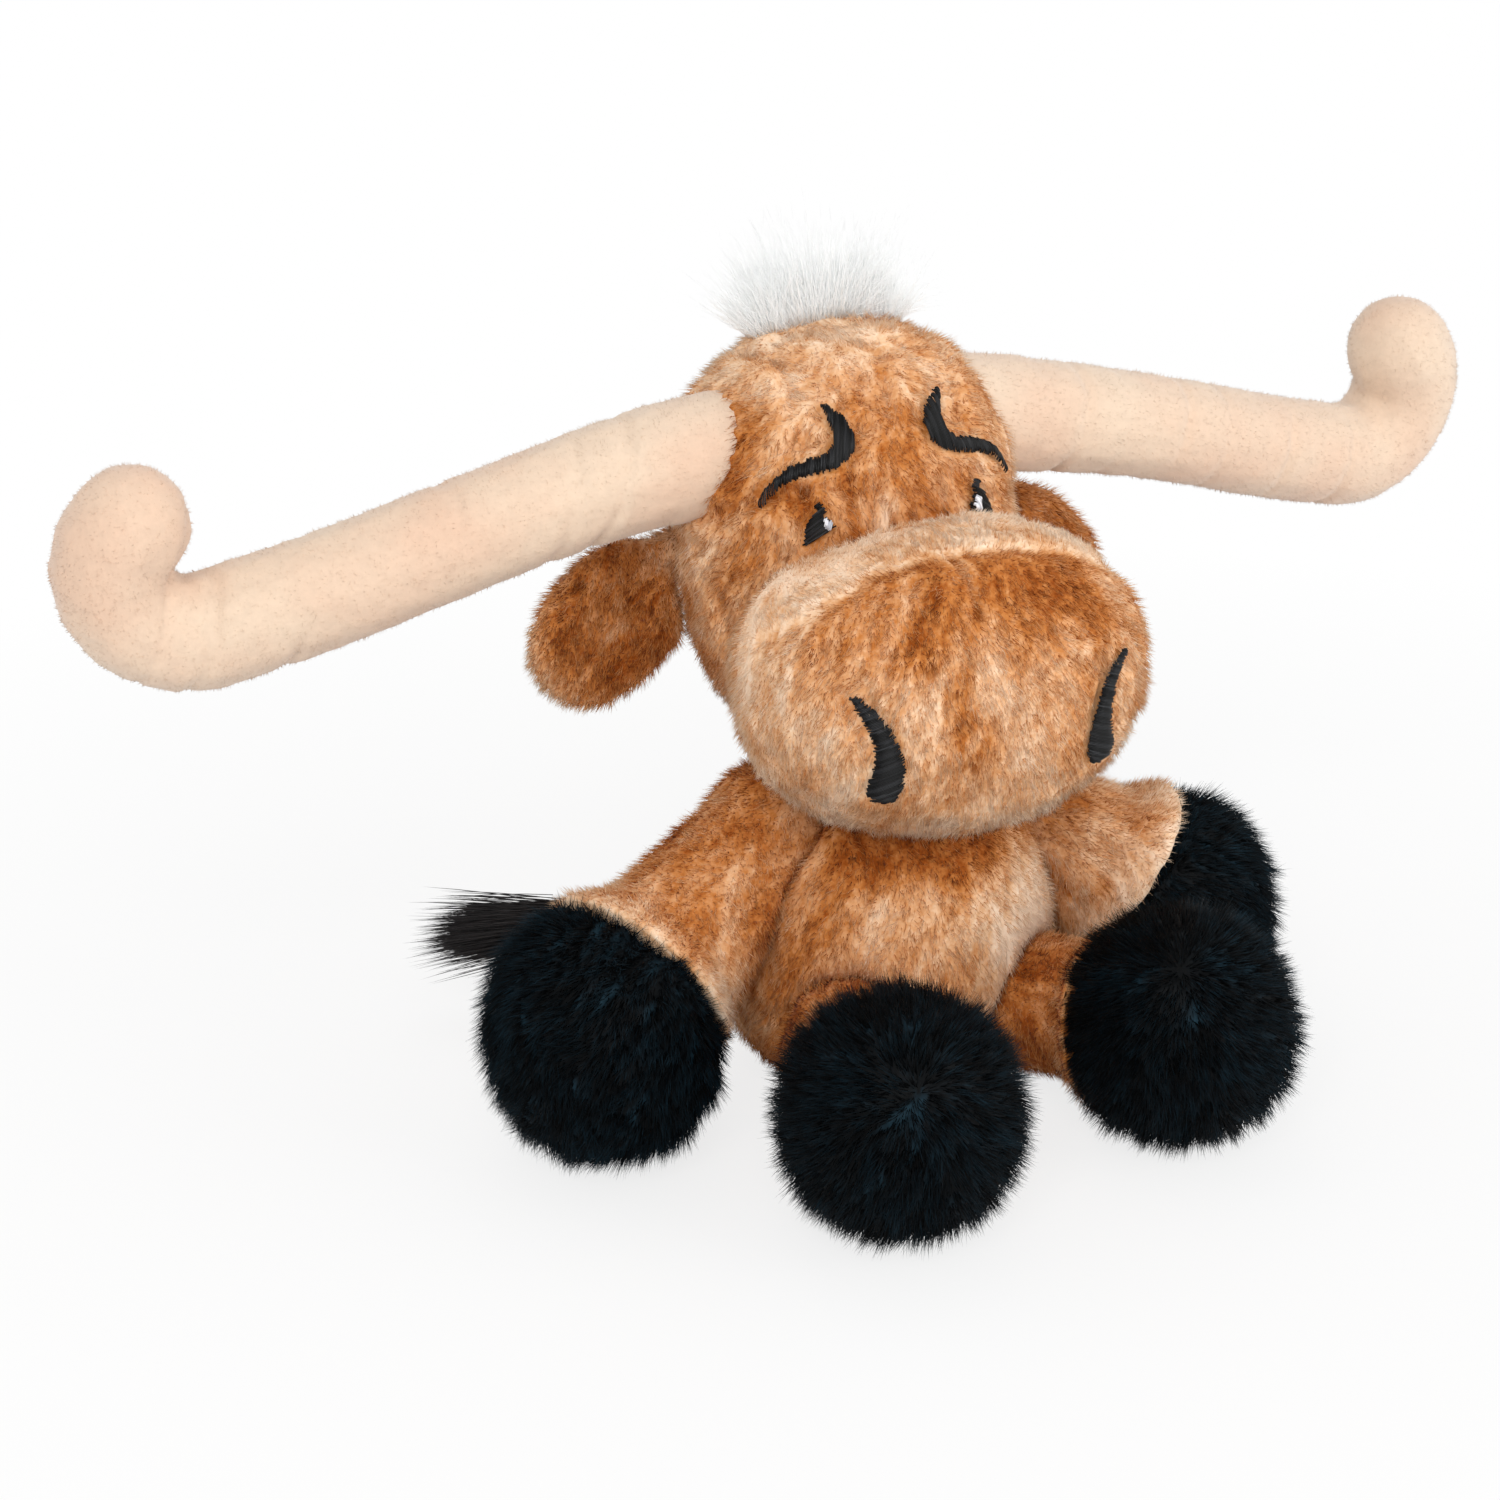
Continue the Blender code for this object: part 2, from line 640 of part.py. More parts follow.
head = add_piece("head_cover", head_form(0.0), TAN, head_pivot)
head_inside = add_cutter("head_inside", head_form(COVER_WALL), head_pivot)
head_grown = add_cutter("head_grown", head_form(-FIT_GAP), head_pivot)
head_clear = add_cutter("head_clear", head_form(-SWING_GAP), head_pivot)
head_layer = add_cutter("head_layer", head_form(-FIT_GAP - STITCH_HEIGHT), head_pivot)
glint_grown = add_cutter("glint_grown", head_form(-2.0 * FIT_GAP - STITCH_HEIGHT), head_pivot)
glint_layer = add_cutter("glint_layer", head_form(-2.0 * FIT_GAP - 2.0 * STITCH_HEIGHT), head_pivot)
head_filling = add_piece("head_filling", head_form(FILLING_INSET), FIBRE, head_pivot)
combine(head, "DIFFERENCE", head_inside, dome_grown)
combine(head_filling, "DIFFERENCE", dome_grown)

muzzle = add_piece("muzzle_cover", muzzle_form(0.0), TAN, head_pivot)
muzzle_inside = add_cutter("muzzle_inside", muzzle_form(COVER_WALL), head_pivot)
muzzle_grown = add_cutter("muzzle_grown", muzzle_form(-FIT_GAP), head_pivot)
muzzle_layer = add_cutter("muzzle_layer", muzzle_form(-FIT_GAP - STITCH_HEIGHT), head_pivot)
muzzle_filling = add_piece("muzzle_filling", muzzle_form(FILLING_INSET), FIBRE, head_pivot)
combine(muzzle, "DIFFERENCE", muzzle_inside, head_grown, dome_grown)
combine(muzzle_filling, "DIFFERENCE", head_grown, dome_grown)


# Horns with their fillings, and ears hung from ball roots

for name, side in SIDES:
    horn = add_piece("horn_cover_" + name, horn_form(side, 0.0), CREAM, head_pivot)
    horn_inside = add_cutter("horn_inside_" + name, horn_form(side, COVER_WALL), head_pivot)
    combine(horn, "DIFFERENCE", horn_inside, head_grown)
    horn_filling = add_piece("horn_filling_" + name, horn_form(side, FILLING_INSET), FIBRE, head_pivot)
    combine(horn_filling, "DIFFERENCE", head_grown)

    ear_root = HEAD_CENTRE + Vector((side * EAR_ROOT_OUT, EAR_ROOT_BACK, -EAR_ROOT_DROP))
    ear_pivot = add_pivot("ear_flap_" + name, ear_root, parent=head_pivot)
    origin = Vector((0.0, 0.0, 0.0))
    leaf = plump(EAR_WIDTH, EAR_THICKNESS, EAR_LENGTH, AROUND_SMALL, ROWS_SMALL, EAR_CORNER_SHARE)
    droop = Matrix.Rotation(side * (math.pi / 2.0 + EAR_DROOP), 4, "Y")
    middle = Vector((side * math.cos(EAR_DROOP), 0.0, -math.sin(EAR_DROOP))) * EAR_LENGTH / 2.0
    ear = add_piece("ear_" + name, placed(leaf, middle, droop), TAN, ear_pivot)
    ear_ball = add_cutter(
        "ear_ball_" + name, ball_form(origin, EAR_ROOT_RADIUS, AROUND_SMALL, ROWS_SMALL), ear_pivot
    )
    ear_socket = add_cutter(
        "ear_socket_" + name, ball_form(origin, EAR_ROOT_RADIUS + SWING_GAP), ear_pivot
    )
    combine(ear, "DIFFERENCE", head_clear)
    combine(ear, "UNION", ear_ball)
    combine(head, "DIFFERENCE", ear_socket)
    combine(head_filling, "DIFFERENCE", ear_socket)


# Crown tuft and embroidery

crown = plump(CROWN_WIDTH, CROWN_DEPTH, CROWN_HEIGHT, AROUND_SMALL, ROWS_SMALL)
placed(crown, HEAD_CENTRE + Vector((CROWN_SIDE, CROWN_BACK, HEAD_TOP)))
crown_tuft = add_piece("crown_tuft", crown, WHITE_HAIR, head_pivot)
combine(crown_tuft, "DIFFERENCE", head_grown)

HEAD_HOST = {"layer": head_layer, "grown": head_grown}
EYE_HOST = {"layer": glint_layer, "grown": glint_grown}
MUZZLE_HOST = {"layer": muzzle_layer, "grown": muzzle_grown}
nostril_side = MUZZLE_WIDTH * NOSTRIL_SIDE_SHARE
for name, side in SIDES:
    front = HEAD_DEPTH / 2.0
    patch("brow_" + name, BROW_SHARES, side, HEAD_CENTRE + Vector((side * BROW_SIDE, -front, BROW_RISE)),
          BROW_WIDTH, BROW_HEIGHT, HEAD_HOST, BLACK_THREAD, head_pivot)
    eye = patch("eye_" + name, EYE_SHARES, side, HEAD_CENTRE + Vector((side * EYE_SIDE, -front, -EYE_DROP)),
                EYE_WIDTH, EYE_HEIGHT, HEAD_HOST, BLACK_THREAD, head_pivot)
    glint = patch("eye_glint_" + name, GLINT_SHARES, side,
                  HEAD_CENTRE + Vector((side * GLINT_SIDE, -front, -GLINT_DROP)),
                  GLINT_WIDTH, GLINT_HEIGHT, EYE_HOST, WHITE_THREAD, head_pivot)
    combine(eye, "DIFFERENCE", muzzle_grown)
    combine(glint, "DIFFERENCE", muzzle_grown)
    nose = HEAD_CENTRE + Vector((side * nostril_side, -MUZZLE_FORWARD - MUZZLE_DEPTH / 2.0, -NOSTRIL_DROP))
    patch("nostril_" + name, NOSTRIL_SHARES, side, nose,
          NOSTRIL_WIDTH, NOSTRIL_HEIGHT, MUZZLE_HOST, BLACK_THREAD, head_pivot)


# Arms and legs: each is a cover with a ball root, a hoof, and one filling through both

def socket_surround(kind, name, pivot, ball):
    """The torso's grown form less the ball root, so that the root keeps its round end."""
    cutter = add_cutter(kind + "_surround_" + name, torso_form(-LIMB_GAP), torso_pivot)
    combine(cutter, "DIFFERENCE", add_cutter(kind + "_ball_" + name, ball_form(Vector(), ball), pivot))
    return cutter


def add_limb(kind, hoof_kind, name, root, hoof_centre, ball, neck, cuff, hoof_size):
    pivot = add_pivot(kind + "_lift_" + name, root)
    origin = Vector((0.0, 0.0, 0.0))
    centre = hoof_centre - root
    width, depth, height = hoof_size
    reach = centre.length - depth * LIMB_END_SHARE
    cover = add_piece(
        kind + "_cover_" + name, limb_form(origin, centre, ball, neck, cuff, 0.0, reach), TAN, pivot
    )
    inside = add_cutter(
        kind + "_inside_" + name, limb_form(origin, centre, ball, neck, cuff, COVER_WALL, reach), pivot
    )
    hoof = add_piece(hoof_kind + "_" + name, hoof_form(centre, width, depth, height, 0.0), BLACK_FUR, pivot)
    hoof_inside = add_cutter(
        hoof_kind + "_inside_" + name, hoof_form(centre, width, depth, height, COVER_WALL), pivot
    )
    hoof_grown = add_cutter(
        hoof_kind + "_grown_" + name, hoof_form(centre, width, depth, height, -FIT_GAP), pivot
    )
    socket = add_cutter(kind + "_socket_" + name, ball_form(origin, ball + SOCKET_GAP), pivot)
    filling = add_piece(
        kind + "_filling_" + name,
        hoof_form(centre, width, depth, height, FILLING_INSET),
        FIBRE,
        pivot,
    )
    stem = add_cutter(
        kind + "_stem_" + name, limb_form(origin, centre, ball, neck, cuff, FILLING_INSET, reach), pivot
    )
    surround = socket_surround(kind, name, pivot, ball)
    combine(cover, "DIFFERENCE", inside, hoof_grown, surround)
    combine(hoof, "DIFFERENCE", hoof_inside, inside, TABLE)
    combine(filling, "UNION", stem)
    combine(filling, "DIFFERENCE", surround)
    combine(torso, "DIFFERENCE", socket)
    combine(torso_filling, "DIFFERENCE", socket)


ARM_PLACES = {
    "right": (RIGHT_HAND_OUT, RIGHT_HAND_FORWARD),
    "left": (LEFT_HAND_OUT, LEFT_HAND_FORWARD),
}
LEG_PLACES = {
    "right": (RIGHT_FOOT_OUT, RIGHT_FOOT_FORWARD),
    "left": (LEFT_FOOT_OUT, LEFT_FOOT_FORWARD),
}
for name, side in SIDES:
    hand_out, hand_forward = ARM_PLACES[name]
    foot_out, foot_forward = LEG_PLACES[name]
    add_limb("arm", "hand_hoof", name,
             Vector((side * SHOULDER_OUT, SHOULDER_BACK, SHOULDER_HEIGHT)),
             Vector((side * hand_out, -hand_forward, HAND_HEIGHT / 2.0 - SEAT_FLAT)),
             SHOULDER_RADIUS, SLEEVE_NECK_RADIUS, SLEEVE_CUFF_RADIUS, (HAND_WIDTH, HAND_DEPTH, HAND_HEIGHT))
    add_limb("leg", "foot_hoof", name,
             Vector((side * HIP_OUT, -HIP_FORWARD, HIP_HEIGHT)),
             Vector((side * foot_out, -foot_forward, FOOT_HEIGHT / 2.0 - SEAT_FLAT)),
             HIP_RADIUS, LEG_NECK_RADIUS, LEG_CUFF_RADIUS, (FOOT_WIDTH, FOOT_DEPTH, FOOT_HEIGHT))


# Tail and its tuft

tail_root = Vector((0.0, TAIL_ROOT_BACK, TAIL_ROOT_HEIGHT))
tail_pivot = add_pivot("tail_swing", tail_root)
tail_points = [
    Vector((-out * TAIL_REACH, back * TAIL_SWEEP, rise * TAIL_RISE)) for out, back, rise in TAIL_LINE_SHARES
]
tail_line = smooth_line(tail_points, TAIL_STEPS)
tail = add_piece(
    "tail_cover", tube(tail_line, [TAIL_RADIUS] * len(tail_line), TAIL_RESOLUTION), TAN, tail_pivot
)
tail_ball = add_cutter(
    "tail_ball", ball_form(Vector(), TAIL_ROOT_RADIUS, AROUND_SMALL, ROWS_SMALL), tail_pivot
)
tail_socket = add_cutter("tail_socket", ball_form(Vector(), TAIL_ROOT_RADIUS + SWING_GAP), tail_pivot)
combine(tail, "UNION", tail_ball)
combine(torso, "DIFFERENCE", tail_socket)
combine(torso_filling, "DIFFERENCE", tail_socket)


def tuft_form(grow):
    shape = plump(TAIL_TUFT_LENGTH, TAIL_TUFT_WIDTH, TAIL_TUFT_WIDTH, AROUND_SMALL, ROWS_SMALL)
    place = Vector((-TAIL_TUFT_SIDE, TAIL_TUFT_BACK, TAIL_TUFT_HEIGHT)) - tail_root
    return offset(placed(shape, place, Matrix.Rotation(TAIL_TUFT_TURN, 4, "Z")), grow)


tail_tuft = add_piece("tail_tuft", tuft_form(0.0), BLACK_FUR, tail_pivot)
tuft_grown = add_cutter("tuft_grown", tuft_form(FIT_GAP), tail_pivot)
combine(tail, "DIFFERENCE", tuft_grown)
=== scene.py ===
"""A plush longhorn bull on a white table: skins, pile, hair and stitching over the stuffed forms."""
import json
import math

import bmesh
import bpy
import numpy as np
from mathutils import Matrix, Vector
from mathutils.bvhtree import BVHTree
from mathutils.kdtree import KDTree


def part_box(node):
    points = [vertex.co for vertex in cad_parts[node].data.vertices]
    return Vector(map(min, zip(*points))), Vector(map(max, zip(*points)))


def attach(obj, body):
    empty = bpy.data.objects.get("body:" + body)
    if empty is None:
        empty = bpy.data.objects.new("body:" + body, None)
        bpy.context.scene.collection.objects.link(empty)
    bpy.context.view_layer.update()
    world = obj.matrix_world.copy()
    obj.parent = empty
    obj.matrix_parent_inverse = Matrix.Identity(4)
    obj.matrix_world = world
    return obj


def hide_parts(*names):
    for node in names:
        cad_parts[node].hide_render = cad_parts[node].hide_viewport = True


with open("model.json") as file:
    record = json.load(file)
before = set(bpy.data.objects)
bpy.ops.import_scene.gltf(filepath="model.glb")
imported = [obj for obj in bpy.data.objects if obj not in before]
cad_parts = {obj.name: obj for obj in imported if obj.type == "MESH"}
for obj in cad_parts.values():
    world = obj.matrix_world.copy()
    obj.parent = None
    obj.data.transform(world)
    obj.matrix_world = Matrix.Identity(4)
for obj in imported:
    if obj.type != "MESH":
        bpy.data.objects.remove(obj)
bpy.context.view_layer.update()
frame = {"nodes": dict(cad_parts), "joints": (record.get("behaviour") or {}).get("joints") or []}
MM = 0.001


# Camera, table and light. The toy is seen from its right and a little above, on a white
# sweep under large soft boxes, with a faint shadow round the hooves.

camera_data = bpy.data.cameras.new("camera")
camera_data.lens = 67.2
camera_data.sensor_width = 36.0
camera_data.clip_start = 0.05
camera = bpy.data.objects.new("camera", camera_data)
bpy.context.scene.collection.objects.link(camera)
camera.matrix_world = Matrix(
    (
        (0.8829, 0.1606, -0.4412, -0.3991),
        (-0.4695, 0.3020, -0.8297, -0.6623),
        (0.0, 0.9397, 0.3420, 0.3812),
        (0.0, 0.0, 0.0, 1.0),
    )
)
bpy.context.scene.camera = camera
bpy.context.scene.view_settings.view_transform = "Standard"


class Socket:
    """A shader socket that takes part in plain arithmetic."""

    def __init__(self, look, socket):
        self.look = look
        self.socket = socket

    def math(self, operation, *values):
        return self.look.node("ShaderNodeMath", {"operation": operation}, dict(enumerate(values)))

    def __add__(self, other):
        return self.math("ADD", self, other)

    def __sub__(self, other):
        return self.math("SUBTRACT", self, other)

    def __rsub__(self, other):
        return self.math("SUBTRACT", other, self)

    def __mul__(self, other):
        return self.math("MULTIPLY", self, other)

    __radd__ = __add__
    __rmul__ = __mul__


class Look:
    """A material whose nodes are added one at a time."""

    def __init__(self, name, **constants):
        self.material = bpy.data.materials.new(name)
        self.material.use_nodes = True
        self.tree = self.material.node_tree
        self.shader = self.tree.nodes["Principled BSDF"]
        for socket, value in constants.items():
            self.shader.inputs[socket.replace("_", " ")].default_value = value

    def node(self, kind, settings=None, values=None, output=0):
        node = self.tree.nodes.new(kind)
        for key, value in (settings or {}).items():
            if key == "stops":
                ramp = node.color_ramp
                while len(ramp.elements) < len(value):
                    ramp.elements.new(0.5)
                for element, (place, colour) in zip(ramp.elements, value):
                    element.position = place
                    element.color = colour
            else:
                setattr(node, key, value)
        for key, value in (values or {}).items():
            if isinstance(value, Socket):
                self.tree.links.new(value.socket, node.inputs[key])
            else:
                node.inputs[key].default_value = value
        return Socket(self, node.outputs[output])

    def set(self, name, value):
        self.tree.links.new(value.socket, self.shader.inputs[name])

    def place(self):
        return self.node("ShaderNodeTexCoord", output="Object")

    def noise(self, scale, detail=2.0, roughness=0.5):
        values = {"Vector": self.place(), "Scale": scale, "Detail": detail, "Roughness": roughness}
        return self.node("ShaderNodeTexNoise", None, values)

    def mix(self, factor, first, second, blend="MIX"):
        settings = {"data_type": "RGBA", "blend_type": blend}
        return self.node("ShaderNodeMix", settings, {0: factor, 6: first, 7: second}, output=2)

    def shaded(self, colour, value):
        """A colour times a number that changes over the surface."""
        grey = self.node("ShaderNodeCombineColor", None, {0: value, 1: value, 2: value})
        return self.mix(1.0, colour, grey, "MULTIPLY")

    def pile(self):
        """What the pile attribute holds: the place along a hair, its tint and its zone."""
        colour = self.node("ShaderNodeAttribute", {"attribute_name": "pile"}, output="Color")
        parts = self.node("ShaderNodeSeparateColor", None, {"Color": colour}).socket.node
        return [Socket(self, parts.outputs[part]) for part in ("Red", "Green", "Blue")]

    def range(self, value, low, high, to_low=0.0, to_high=1.0):
        values = {0: value, 1: low, 2: high, 3: to_low, 4: to_high}
        return self.node("ShaderNodeMapRange", None, values)

    def bump(self, height, strength, distance):
        values = {"Strength": strength, "Distance": distance, "Height": height}
        self.set("Normal", self.node("ShaderNodeBump", None, values))


table_mesh = bpy.data.meshes.new("table")
table_shape = bmesh.new()
bmesh.ops.create_grid(table_shape, x_segments=1, y_segments=1, size=6.0)
table_shape.to_mesh(table_mesh)
table_shape.free()
table = bpy.data.objects.new("table", table_mesh)
bpy.context.scene.collection.objects.link(table)
white = Look("white_table", Base_Color=(0.86, 0.86, 0.86, 1.0), Roughness=0.7)
seen = white.node("ShaderNodeLightPath", output="Is Camera Ray")
lit = white.node("ShaderNodeEmission", None, {"Color": (1.0, 1.0, 1.0, 1.0), "Strength": 1.0})
# The camera sees the table as paper white away from the toy, and shaded close to it
reach = white.node("ShaderNodeVectorMath", {"operation": "LENGTH"}, {0: white.place()}, 1)
glow = seen * white.range(reach, 0.15, 0.60, 0.78, 1.0)
paint = Socket(white, white.shader.outputs[0])
blend = white.node("ShaderNodeMixShader", None, {0: glow, 1: paint, 2: lit})
white.tree.links.new(blend.socket, white.tree.nodes["Material Output"].inputs["Surface"])
table_mesh.materials.append(white.material)

world = bpy.data.worlds.new("studio")
bpy.context.scene.world = world
world.use_nodes = True
world.node_tree.nodes["Background"].inputs["Color"].default_value = (1.0, 1.0, 1.0, 1.0)
# The sky is plain white to the camera and dimmer on the toy
sky = world.node_tree
seen = sky.nodes.new("ShaderNodeLightPath").outputs["Is Camera Ray"]
strength = sky.nodes.new("ShaderNodeMapRange")
strength.inputs["To Min"].default_value = 0.62
strength.inputs["To Max"].default_value = 1.0
sky.links.new(seen, strength.inputs["Value"])
sky.links.new(strength.outputs[0], sky.nodes["Background"].inputs["Strength"])

AIM = Vector((0.0, 0.0, 0.1))
for name, place, size, power in (
    ("key_box", (-0.90, -1.20, 1.10), 0.9, 16.0),
    ("fill_box", (1.00, -1.25, 0.42), 1.1, 11.0),
    ("top_box", (0.1, 0.5, 1.6), 1.0, 2.0),
):
    lamp = bpy.data.lights.new(name, "AREA")
    lamp.energy = power
    lamp.size = size
    box = bpy.data.objects.new(name, lamp)
    bpy.context.scene.collection.objects.link(box)
    box.location = place
    box.rotation_euler = (AIM - Vector(place)).to_track_quat("-Z", "Y").to_euler()


# Head: a tan plush bag stuffed round, with short pile combed down and back from the face.
# The cloth lies a few millimetres under the pile's tips, and is stitched to the muzzle.

# The head's tilt on the neck, and its middle: an offset along its axes from the neck's pivot
HEAD_AXES = Matrix.Rotation(math.radians(-5.0), 3, "Z")
HEAD_AXES = HEAD_AXES @ Matrix.Rotation(math.radians(-3.8), 3, "X")
HEAD_AXES = HEAD_AXES @ Matrix.Rotation(math.radians(-2.1), 3, "Y")
HEAD_TURN = np.array(HEAD_AXES)
HEAD_BACK = HEAD_TURN @ np.array((0.0, 1.0, 0.0))
NECK_PIVOT = np.array((0.0, 8.0, 70.0)) * MM
HEAD_MIDDLE = np.array(HEAD_AXES @ Vector((2.1, 18.9, 121.5))) * MM + NECK_PIVOT
# How far from a point another piece is looked for
SEARCH = 20.0 * MM


def link(name, mesh, material=None):
    piece = bpy.data.objects.new(name, mesh)
    bpy.context.scene.collection.objects.link(piece)
    if material:
        mesh.materials.append(material)
    return piece


def stuffed_skin(name, node, cell, relax, grow):
    """The cloth over one filling: its form remeshed fine, relaxed, and moved out or in by grow."""
    mesh = frame["nodes"][node].data.copy()
    mesh.materials.clear()
    shape = bmesh.new()
    shape.from_mesh(mesh)
    bmesh.ops.remove_doubles(shape, verts=shape.verts, dist=0.01 * MM)
    shape.to_mesh(mesh)
    shape.free()
    rough = link(name, mesh)
    remesh = rough.modifiers.new("remesh", "REMESH")
    remesh.mode = "VOXEL"
    remesh.voxel_size = cell
    smooth = rough.modifiers.new("relax", "SMOOTH")
    smooth.factor = 0.5
    smooth.iterations = relax
    bpy.context.view_layer.update()
    made = bpy.data.meshes.new_from_object(rough.evaluated_get(bpy.context.evaluated_depsgraph_get()))
    bpy.data.objects.remove(rough)
    made.name = name
    shape = bmesh.new()
    shape.from_mesh(made)
    bmesh.ops.recalc_face_normals(shape, faces=shape.faces)
    shape.normal_update()
    for vert in shape.verts:
        vert.co += vert.normal * grow
    shape.to_mesh(made)
    shape.free()
    made.shade_smooth()
    return link(name, made)


def skin_points(skin, count, rng):
    """Random points spread evenly over a skin, with its smooth normals there."""
    mesh = skin.data
    mesh.calc_loop_triangles()
    corners = np.empty(len(mesh.loop_triangles) * 3, np.int32)
    mesh.loop_triangles.foreach_get("vertices", corners)
    corners = corners.reshape(-1, 3)
    places = np.empty(len(mesh.vertices) * 3)
    mesh.vertices.foreach_get("co", places)
    places = places.reshape(-1, 3)
    normals = np.empty(len(mesh.vertices) * 3)
    mesh.vertex_normals.foreach_get("vector", normals)
    normals = normals.reshape(-1, 3)
    a, b, c = (places[corners[:, k]] for k in range(3))
    areas = np.linalg.norm(np.cross(b - a, c - a), axis=1)
    chosen = rng.choice(len(corners), count, p=areas / areas.sum())
    u = np.sqrt(rng.random(count))
    v = rng.random(count)
    weights = np.stack((1.0 - u, u * (1.0 - v), u * v), axis=1)
    points = np.einsum("ij,ijk->ik", weights, places[corners[chosen]])
    ups = unit(np.einsum("ij,ijk->ik", weights, normals[corners[chosen]]))
    return points, ups


def unit(vectors):
    return vectors / np.maximum(np.linalg.norm(vectors, axis=1, keepdims=True), 1e-9)


def near_to(points, other, margin):
    """Which points lie in a piece's box, widened by the margin."""
    corners = np.array([vert.co for vert in other.data.vertices])
    return np.all((points > corners.min(axis=0) - margin) & (points < corners.max(axis=0) + margin), axis=1)


def depth_in(points, *others):
    """How far each point lies inside the nearest of some closed pieces, negative outside."""
    depth = np.full(len(points), -1.0)
    for other in others:
        tree = BVHTree.FromObject(other, bpy.context.evaluated_depsgraph_get())
        for index in np.flatnonzero(near_to(points, other, 1.0 * MM)):
            point = Vector(points[index])
            place, normal, _, distance = tree.find_nearest(point, SEARCH)
            if place is not None:
                side = 1.0 if (point - place).dot(normal) < 0.0 else -1.0
                depth[index] = max(depth[index], side * distance)
    return depth


def grain(points, size, seed):
    """Smooth random heights from -1 to 1 that change over about this size."""
    cells = points / size
    low = np.floor(cells)
    part = cells - low
    part = part * part * (3.0 - 2.0 * part)
    total = np.zeros(len(points))
    for corner in ((a, b, c) for a in (0, 1) for b in (0, 1) for c in (0, 1)):
        spot = (low + corner) @ np.array((127.1, 311.7, 74.7)) + seed * 53.3
        value = np.sin(spot) * 43758.5453
        weight = np.prod(np.where(corner, part, 1.0 - part), axis=1)
        total += weight * (value - np.floor(value))
    return total * 2.0 - 1.0


def brushed(points, ways, size, reach, seed):
    """Grain drawn out along the way that the pile is brushed."""
    steps = np.linspace(-1.0, 1.0, 7) * reach
    return sum(grain(points + ways * step, size, seed) for step in steps) / 4.0


def laid(points, ups, comb, seed, swirl=0.50):
    """The pile's way over the cloth: combed, but parted and ruffled in patches by handling."""
    broad = np.stack([grain(points, 12.0 * MM, seed + k) for k in range(3)], axis=1)
    fine = np.stack([grain(points, 4.0 * MM, seed + k + 3) for k in range(3)], axis=1)
    ways = unit(comb(points, ups)) + (broad + 0.35 * fine) * swirl
    return unit(ways - ups * np.sum(ways * ups, axis=1, keepdims=True))


def surface(mesh):
    places = np.empty(len(mesh.vertices) * 3)
    mesh.vertices.foreach_get("co", places)
    ups = np.empty(len(mesh.vertices) * 3)
    mesh.vertex_normals.foreach_get("vector", ups)
    return places.reshape(-1, 3), ups.reshape(-1, 3)


SEWN_REACH = 5.0 * MM
STEPS = 20


def stuff(skin, cap, *held):
    """Fill a skin: it swells by up to cap, and is held where it is sewn to other pieces."""
    group = skin.vertex_groups.new(name="sewn")
    trees = [BVHTree.FromObject(other, bpy.context.evaluated_depsgraph_get()) for other in held]
    for vert in skin.data.vertices:
        near = min([tree.find_nearest(vert.co, SEARCH)[3] or SEARCH for tree in trees], default=SEARCH)
        group.add([vert.index], max(0.0, 1.0 - near / SEWN_REACH), "REPLACE")
    cloth = skin.modifiers.new("cloth", "CLOTH")
    cloth.settings.quality = 5
    cloth.settings.mass = 0.2
    cloth.settings.shrink_min = -0.06
    cloth.settings.use_pressure = True
    cloth.settings.uniform_pressure_force = 4.0
    cloth.settings.vertex_group_mass = "sewn"
    cloth.settings.effector_weights.gravity = 0.0
    for step in range(1, STEPS + 1):
        bpy.context.scene.frame_set(step)
    filled = skin.evaluated_get(bpy.context.evaluated_depsgraph_get()).data
    for vert, moved in zip(skin.data.vertices, filled.vertices):
        move = moved.co - vert.co
        if move.length > cap:
            move *= cap / move.length
        vert.co += move
    skin.modifiers.remove(cloth)
    skin.vertex_groups.clear()
    bpy.context.scene.frame_set(1)


def sunk(points, ups, folds, back):
    """How far folds sink the front of a skin. Each is a path on the face, a depth and a width."""
    own = in_head(points)[:, [0, 2]] / MM
    sink = np.zeros(len(points))
    for path, deep, wide in folds:
        nearest = np.full(len(points), 99.0)
        for start, end in zip(np.array(path, float), np.array(path[1:], float)):
            along = np.clip((own - start) @ (end - start) / ((end - start) @ (end - start)), 0.0, 1.0)
            off = np.linalg.norm(own - start - along[:, None] * (end - start), axis=1)
            nearest = np.minimum(nearest, off)
        sink += deep * (1.3 * np.exp(-((nearest / wide) ** 2)) - 0.3 * np.exp(-((nearest / wide / 2.4) ** 2)))
    return sink * MM * np.clip(-(ups @ back) * 4.0, 0.0, 1.0)


